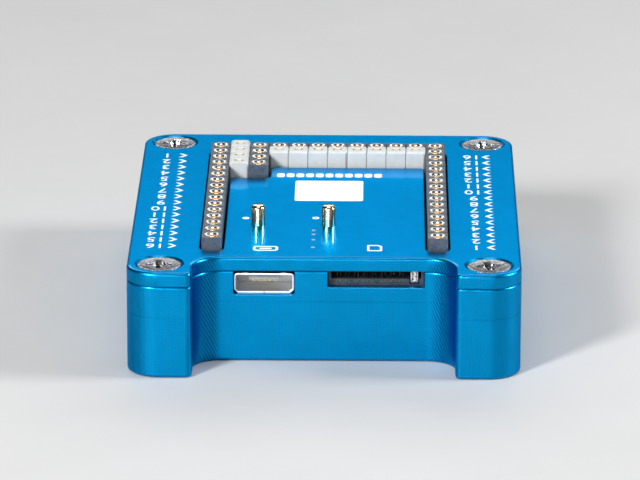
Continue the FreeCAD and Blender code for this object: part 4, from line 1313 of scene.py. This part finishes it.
def make_stage(settings):
    """Pale floor, soft lights, and the camera."""
    stage = settings.stage_settings
    scene = bpy.context.scene
    plain_finish("pale_floor", tuple(value * 0.97 for value in stage.floor_colour),
                 tuple(stage.floor_colour), (0.55, 0.62), 60.0)
    floor = rough_object("floor", ([(-3000, -2000, 0), (3000, -2000, 0), (3000, 4000, 0), (-3000, 4000, 0)],
                                   [(0, 1, 2, 3)]))
    floor.data.transform(Matrix.Scale(MM, 4))
    floor.data.transform(Matrix.Translation((0, 0, -0.00002)))
    floor.data.materials.append(bpy.data.materials["pale_floor"])
    soft_light("key_light", (-0.36, -0.48, 0.34), STAGE_MIDDLE, 0.1, 0.16, stage.key_power)
    soft_light("front_light", (-0.12, -0.84, 0.14), STAGE_MIDDLE, 0.4, 0.16, stage.front_power)
    soft_light("side_light", (0.5, -0.02, 0.3), STAGE_MIDDLE, 0.16, 0.22, stage.side_power)
    soft_light("top_light", (0.0, 0.80, 0.56), STAGE_MIDDLE, 1.3, 0.45, stage.top_power)
    soft_light("overhead_light", (0.0, -0.12, 0.62), STAGE_MIDDLE, 0.36, 0.24, stage.overhead_power)
    world = bpy.data.worlds.new("studio")
    scene.world = world
    world.use_nodes = True
    backdrop = world.node_tree.nodes["Background"]
    backdrop.inputs["Color"].default_value = (0.9, 0.95, 1.0, 1.0)
    backdrop.inputs["Strength"].default_value = 0.03
    scene.view_settings.view_transform = "Standard"
    tilt = math.radians(CAMERA_TILT)
    swing = math.radians(CAMERA_SWING)
    roll = math.radians(CAMERA_ROLL)
    back = Vector((math.sin(swing) * math.cos(tilt), -math.cos(swing) * math.cos(tilt), math.sin(tilt)))
    right = Vector((0, 0, 1)).cross(back).normalized()
    up = back.cross(right)
    rolled_right = right * math.cos(roll) + up * math.sin(roll)
    rolled_up = up * math.cos(roll) - right * math.sin(roll)
    data = bpy.data.cameras.new("camera")
    data.sensor_width = 36.0
    data.lens = stage.lens
    data.clip_start = 0.05
    data.clip_end = 20.0
    camera = bpy.data.objects.new("camera", data)
    scene.collection.objects.link(camera)
    turned = Matrix((rolled_right, rolled_up, back)).transposed().to_4x4()
    camera.matrix_world = Matrix.Translation(CAMERA_PLACE) @ turned
    scene.camera = camera


# ---------------------------------------------------------------- operators
class BOARDCASE_OT_finishes(bpy.types.Operator):
    """Make every material of the object"""

    bl_idname = "boardcase.finishes"
    bl_label = "Finishes"

    def execute(self, context):
        make_finishes(context.scene)
        return {"FINISHED"}


class BOARDCASE_OT_tray(bpy.types.Operator):
    """Make the milled tray"""

    bl_idname = "boardcase.tray"
    bl_label = "Tray"

    def execute(self, context):
        make_tray(context.scene)
        return {"FINISHED"}


class BOARDCASE_OT_lid(bpy.types.Operator):
    """Make the lid"""

    bl_idname = "boardcase.lid"
    bl_label = "Lid"

    def execute(self, context):
        make_lid(context.scene)
        return {"FINISHED"}


class BOARDCASE_OT_screws(bpy.types.Operator):
    """Make the lid screws"""

    bl_idname = "boardcase.screws"
    bl_label = "Lid screws"

    def execute(self, context):
        make_screws(context.scene)
        return {"FINISHED"}


class BOARDCASE_OT_headers(bpy.types.Operator):
    """Make the socket headers and their contacts"""

    bl_idname = "boardcase.headers"
    bl_label = "Headers"

    def execute(self, context):
        for name in STRIPS:
            make_header(context.scene, name)
        return {"FINISHED"}


class BOARDCASE_OT_plungers(bpy.types.Operator):
    """Make the two push plungers"""

    bl_idname = "boardcase.plungers"
    bl_label = "Plungers"

    def execute(self, context):
        make_plungers(context.scene)
        return {"FINISHED"}


class BOARDCASE_OT_port(bpy.types.Operator):
    """Make the port's shell, insulator and contacts"""

    bl_idname = "boardcase.port"
    bl_label = "Port"

    def execute(self, context):
        make_port(context.scene)
        return {"FINISHED"}


class BOARDCASE_OT_card_slot(bpy.types.Operator):
    """Make the card contacts and the ejector"""

    bl_idname = "boardcase.card_slot"
    bl_label = "Card slot"

    def execute(self, context):
        make_card_slot(context.scene)
        return {"FINISHED"}


class BOARDCASE_OT_markings(bpy.types.Operator):
    """Make the printed marks on the lid"""

    bl_idname = "boardcase.markings"
    bl_label = "Markings"

    def execute(self, context):
        make_markings(context.scene)
        return {"FINISHED"}


class BOARDCASE_OT_springs(bpy.types.Operator):
    """Make the snap domes and the ejector's spring"""

    bl_idname = "boardcase.springs"
    bl_label = "Domes and spring"

    def execute(self, context):
        make_springs()
        return {"FINISHED"}


class BOARDCASE_OT_inside(bpy.types.Operator):
    """Give the board and its parts their finishes"""

    bl_idname = "boardcase.inside"
    bl_label = "Board and parts"

    def execute(self, context):
        dress_inside()
        return {"FINISHED"}


class BOARDCASE_OT_stage(bpy.types.Operator):
    """Make the floor, the lights and the camera"""

    bl_idname = "boardcase.stage"
    bl_label = "Stage"

    def execute(self, context):
        make_stage(context.scene)
        return {"FINISHED"}


OPERATORS = [
    BOARDCASE_OT_finishes, BOARDCASE_OT_tray, BOARDCASE_OT_lid, BOARDCASE_OT_screws,
    BOARDCASE_OT_headers, BOARDCASE_OT_plungers, BOARDCASE_OT_port, BOARDCASE_OT_card_slot,
    BOARDCASE_OT_markings, BOARDCASE_OT_springs, BOARDCASE_OT_inside, BOARDCASE_OT_stage,
]


class BOARDCASE_PT_panel(bpy.types.Panel):
    """The steps, in order, with their settings."""

    bl_label = "Boxed board"
    bl_idname = "BOARDCASE_PT_panel"
    bl_space_type = "VIEW_3D"
    bl_region_type = "UI"
    bl_category = "Boxed board"

    def draw(self, context):
        for operator in OPERATORS:
            self.layout.operator(operator.bl_idname)
        for name, group in SETTINGS.items():
            box = self.layout.box()
            box.label(text=name.replace("_", " "))
            for key in group.__annotations__:
                box.prop(getattr(context.scene, name), key)


def register():
    for name, group in SETTINGS.items():
        bpy.utils.register_class(group)
        setattr(bpy.types.Scene, name, PointerProperty(type=group))
    for operator in OPERATORS:
        bpy.utils.register_class(operator)
    bpy.utils.register_class(BOARDCASE_PT_panel)


def unregister():
    bpy.utils.unregister_class(BOARDCASE_PT_panel)
    for operator in reversed(OPERATORS):
        bpy.utils.unregister_class(operator)
    for name, group in SETTINGS.items():
        delattr(bpy.types.Scene, name)
        bpy.utils.unregister_class(group)


def main():
    register()
    bpy.ops.boardcase.finishes()
    bpy.ops.boardcase.tray()
    bpy.ops.boardcase.lid()
    bpy.ops.boardcase.screws()
    bpy.ops.boardcase.headers()
    bpy.ops.boardcase.plungers()
    bpy.ops.boardcase.port()
    bpy.ops.boardcase.card_slot()
    bpy.ops.boardcase.markings()
    bpy.ops.boardcase.springs()
    bpy.ops.boardcase.inside()
    bpy.ops.boardcase.stage()


if __name__ == "__main__":
    main()
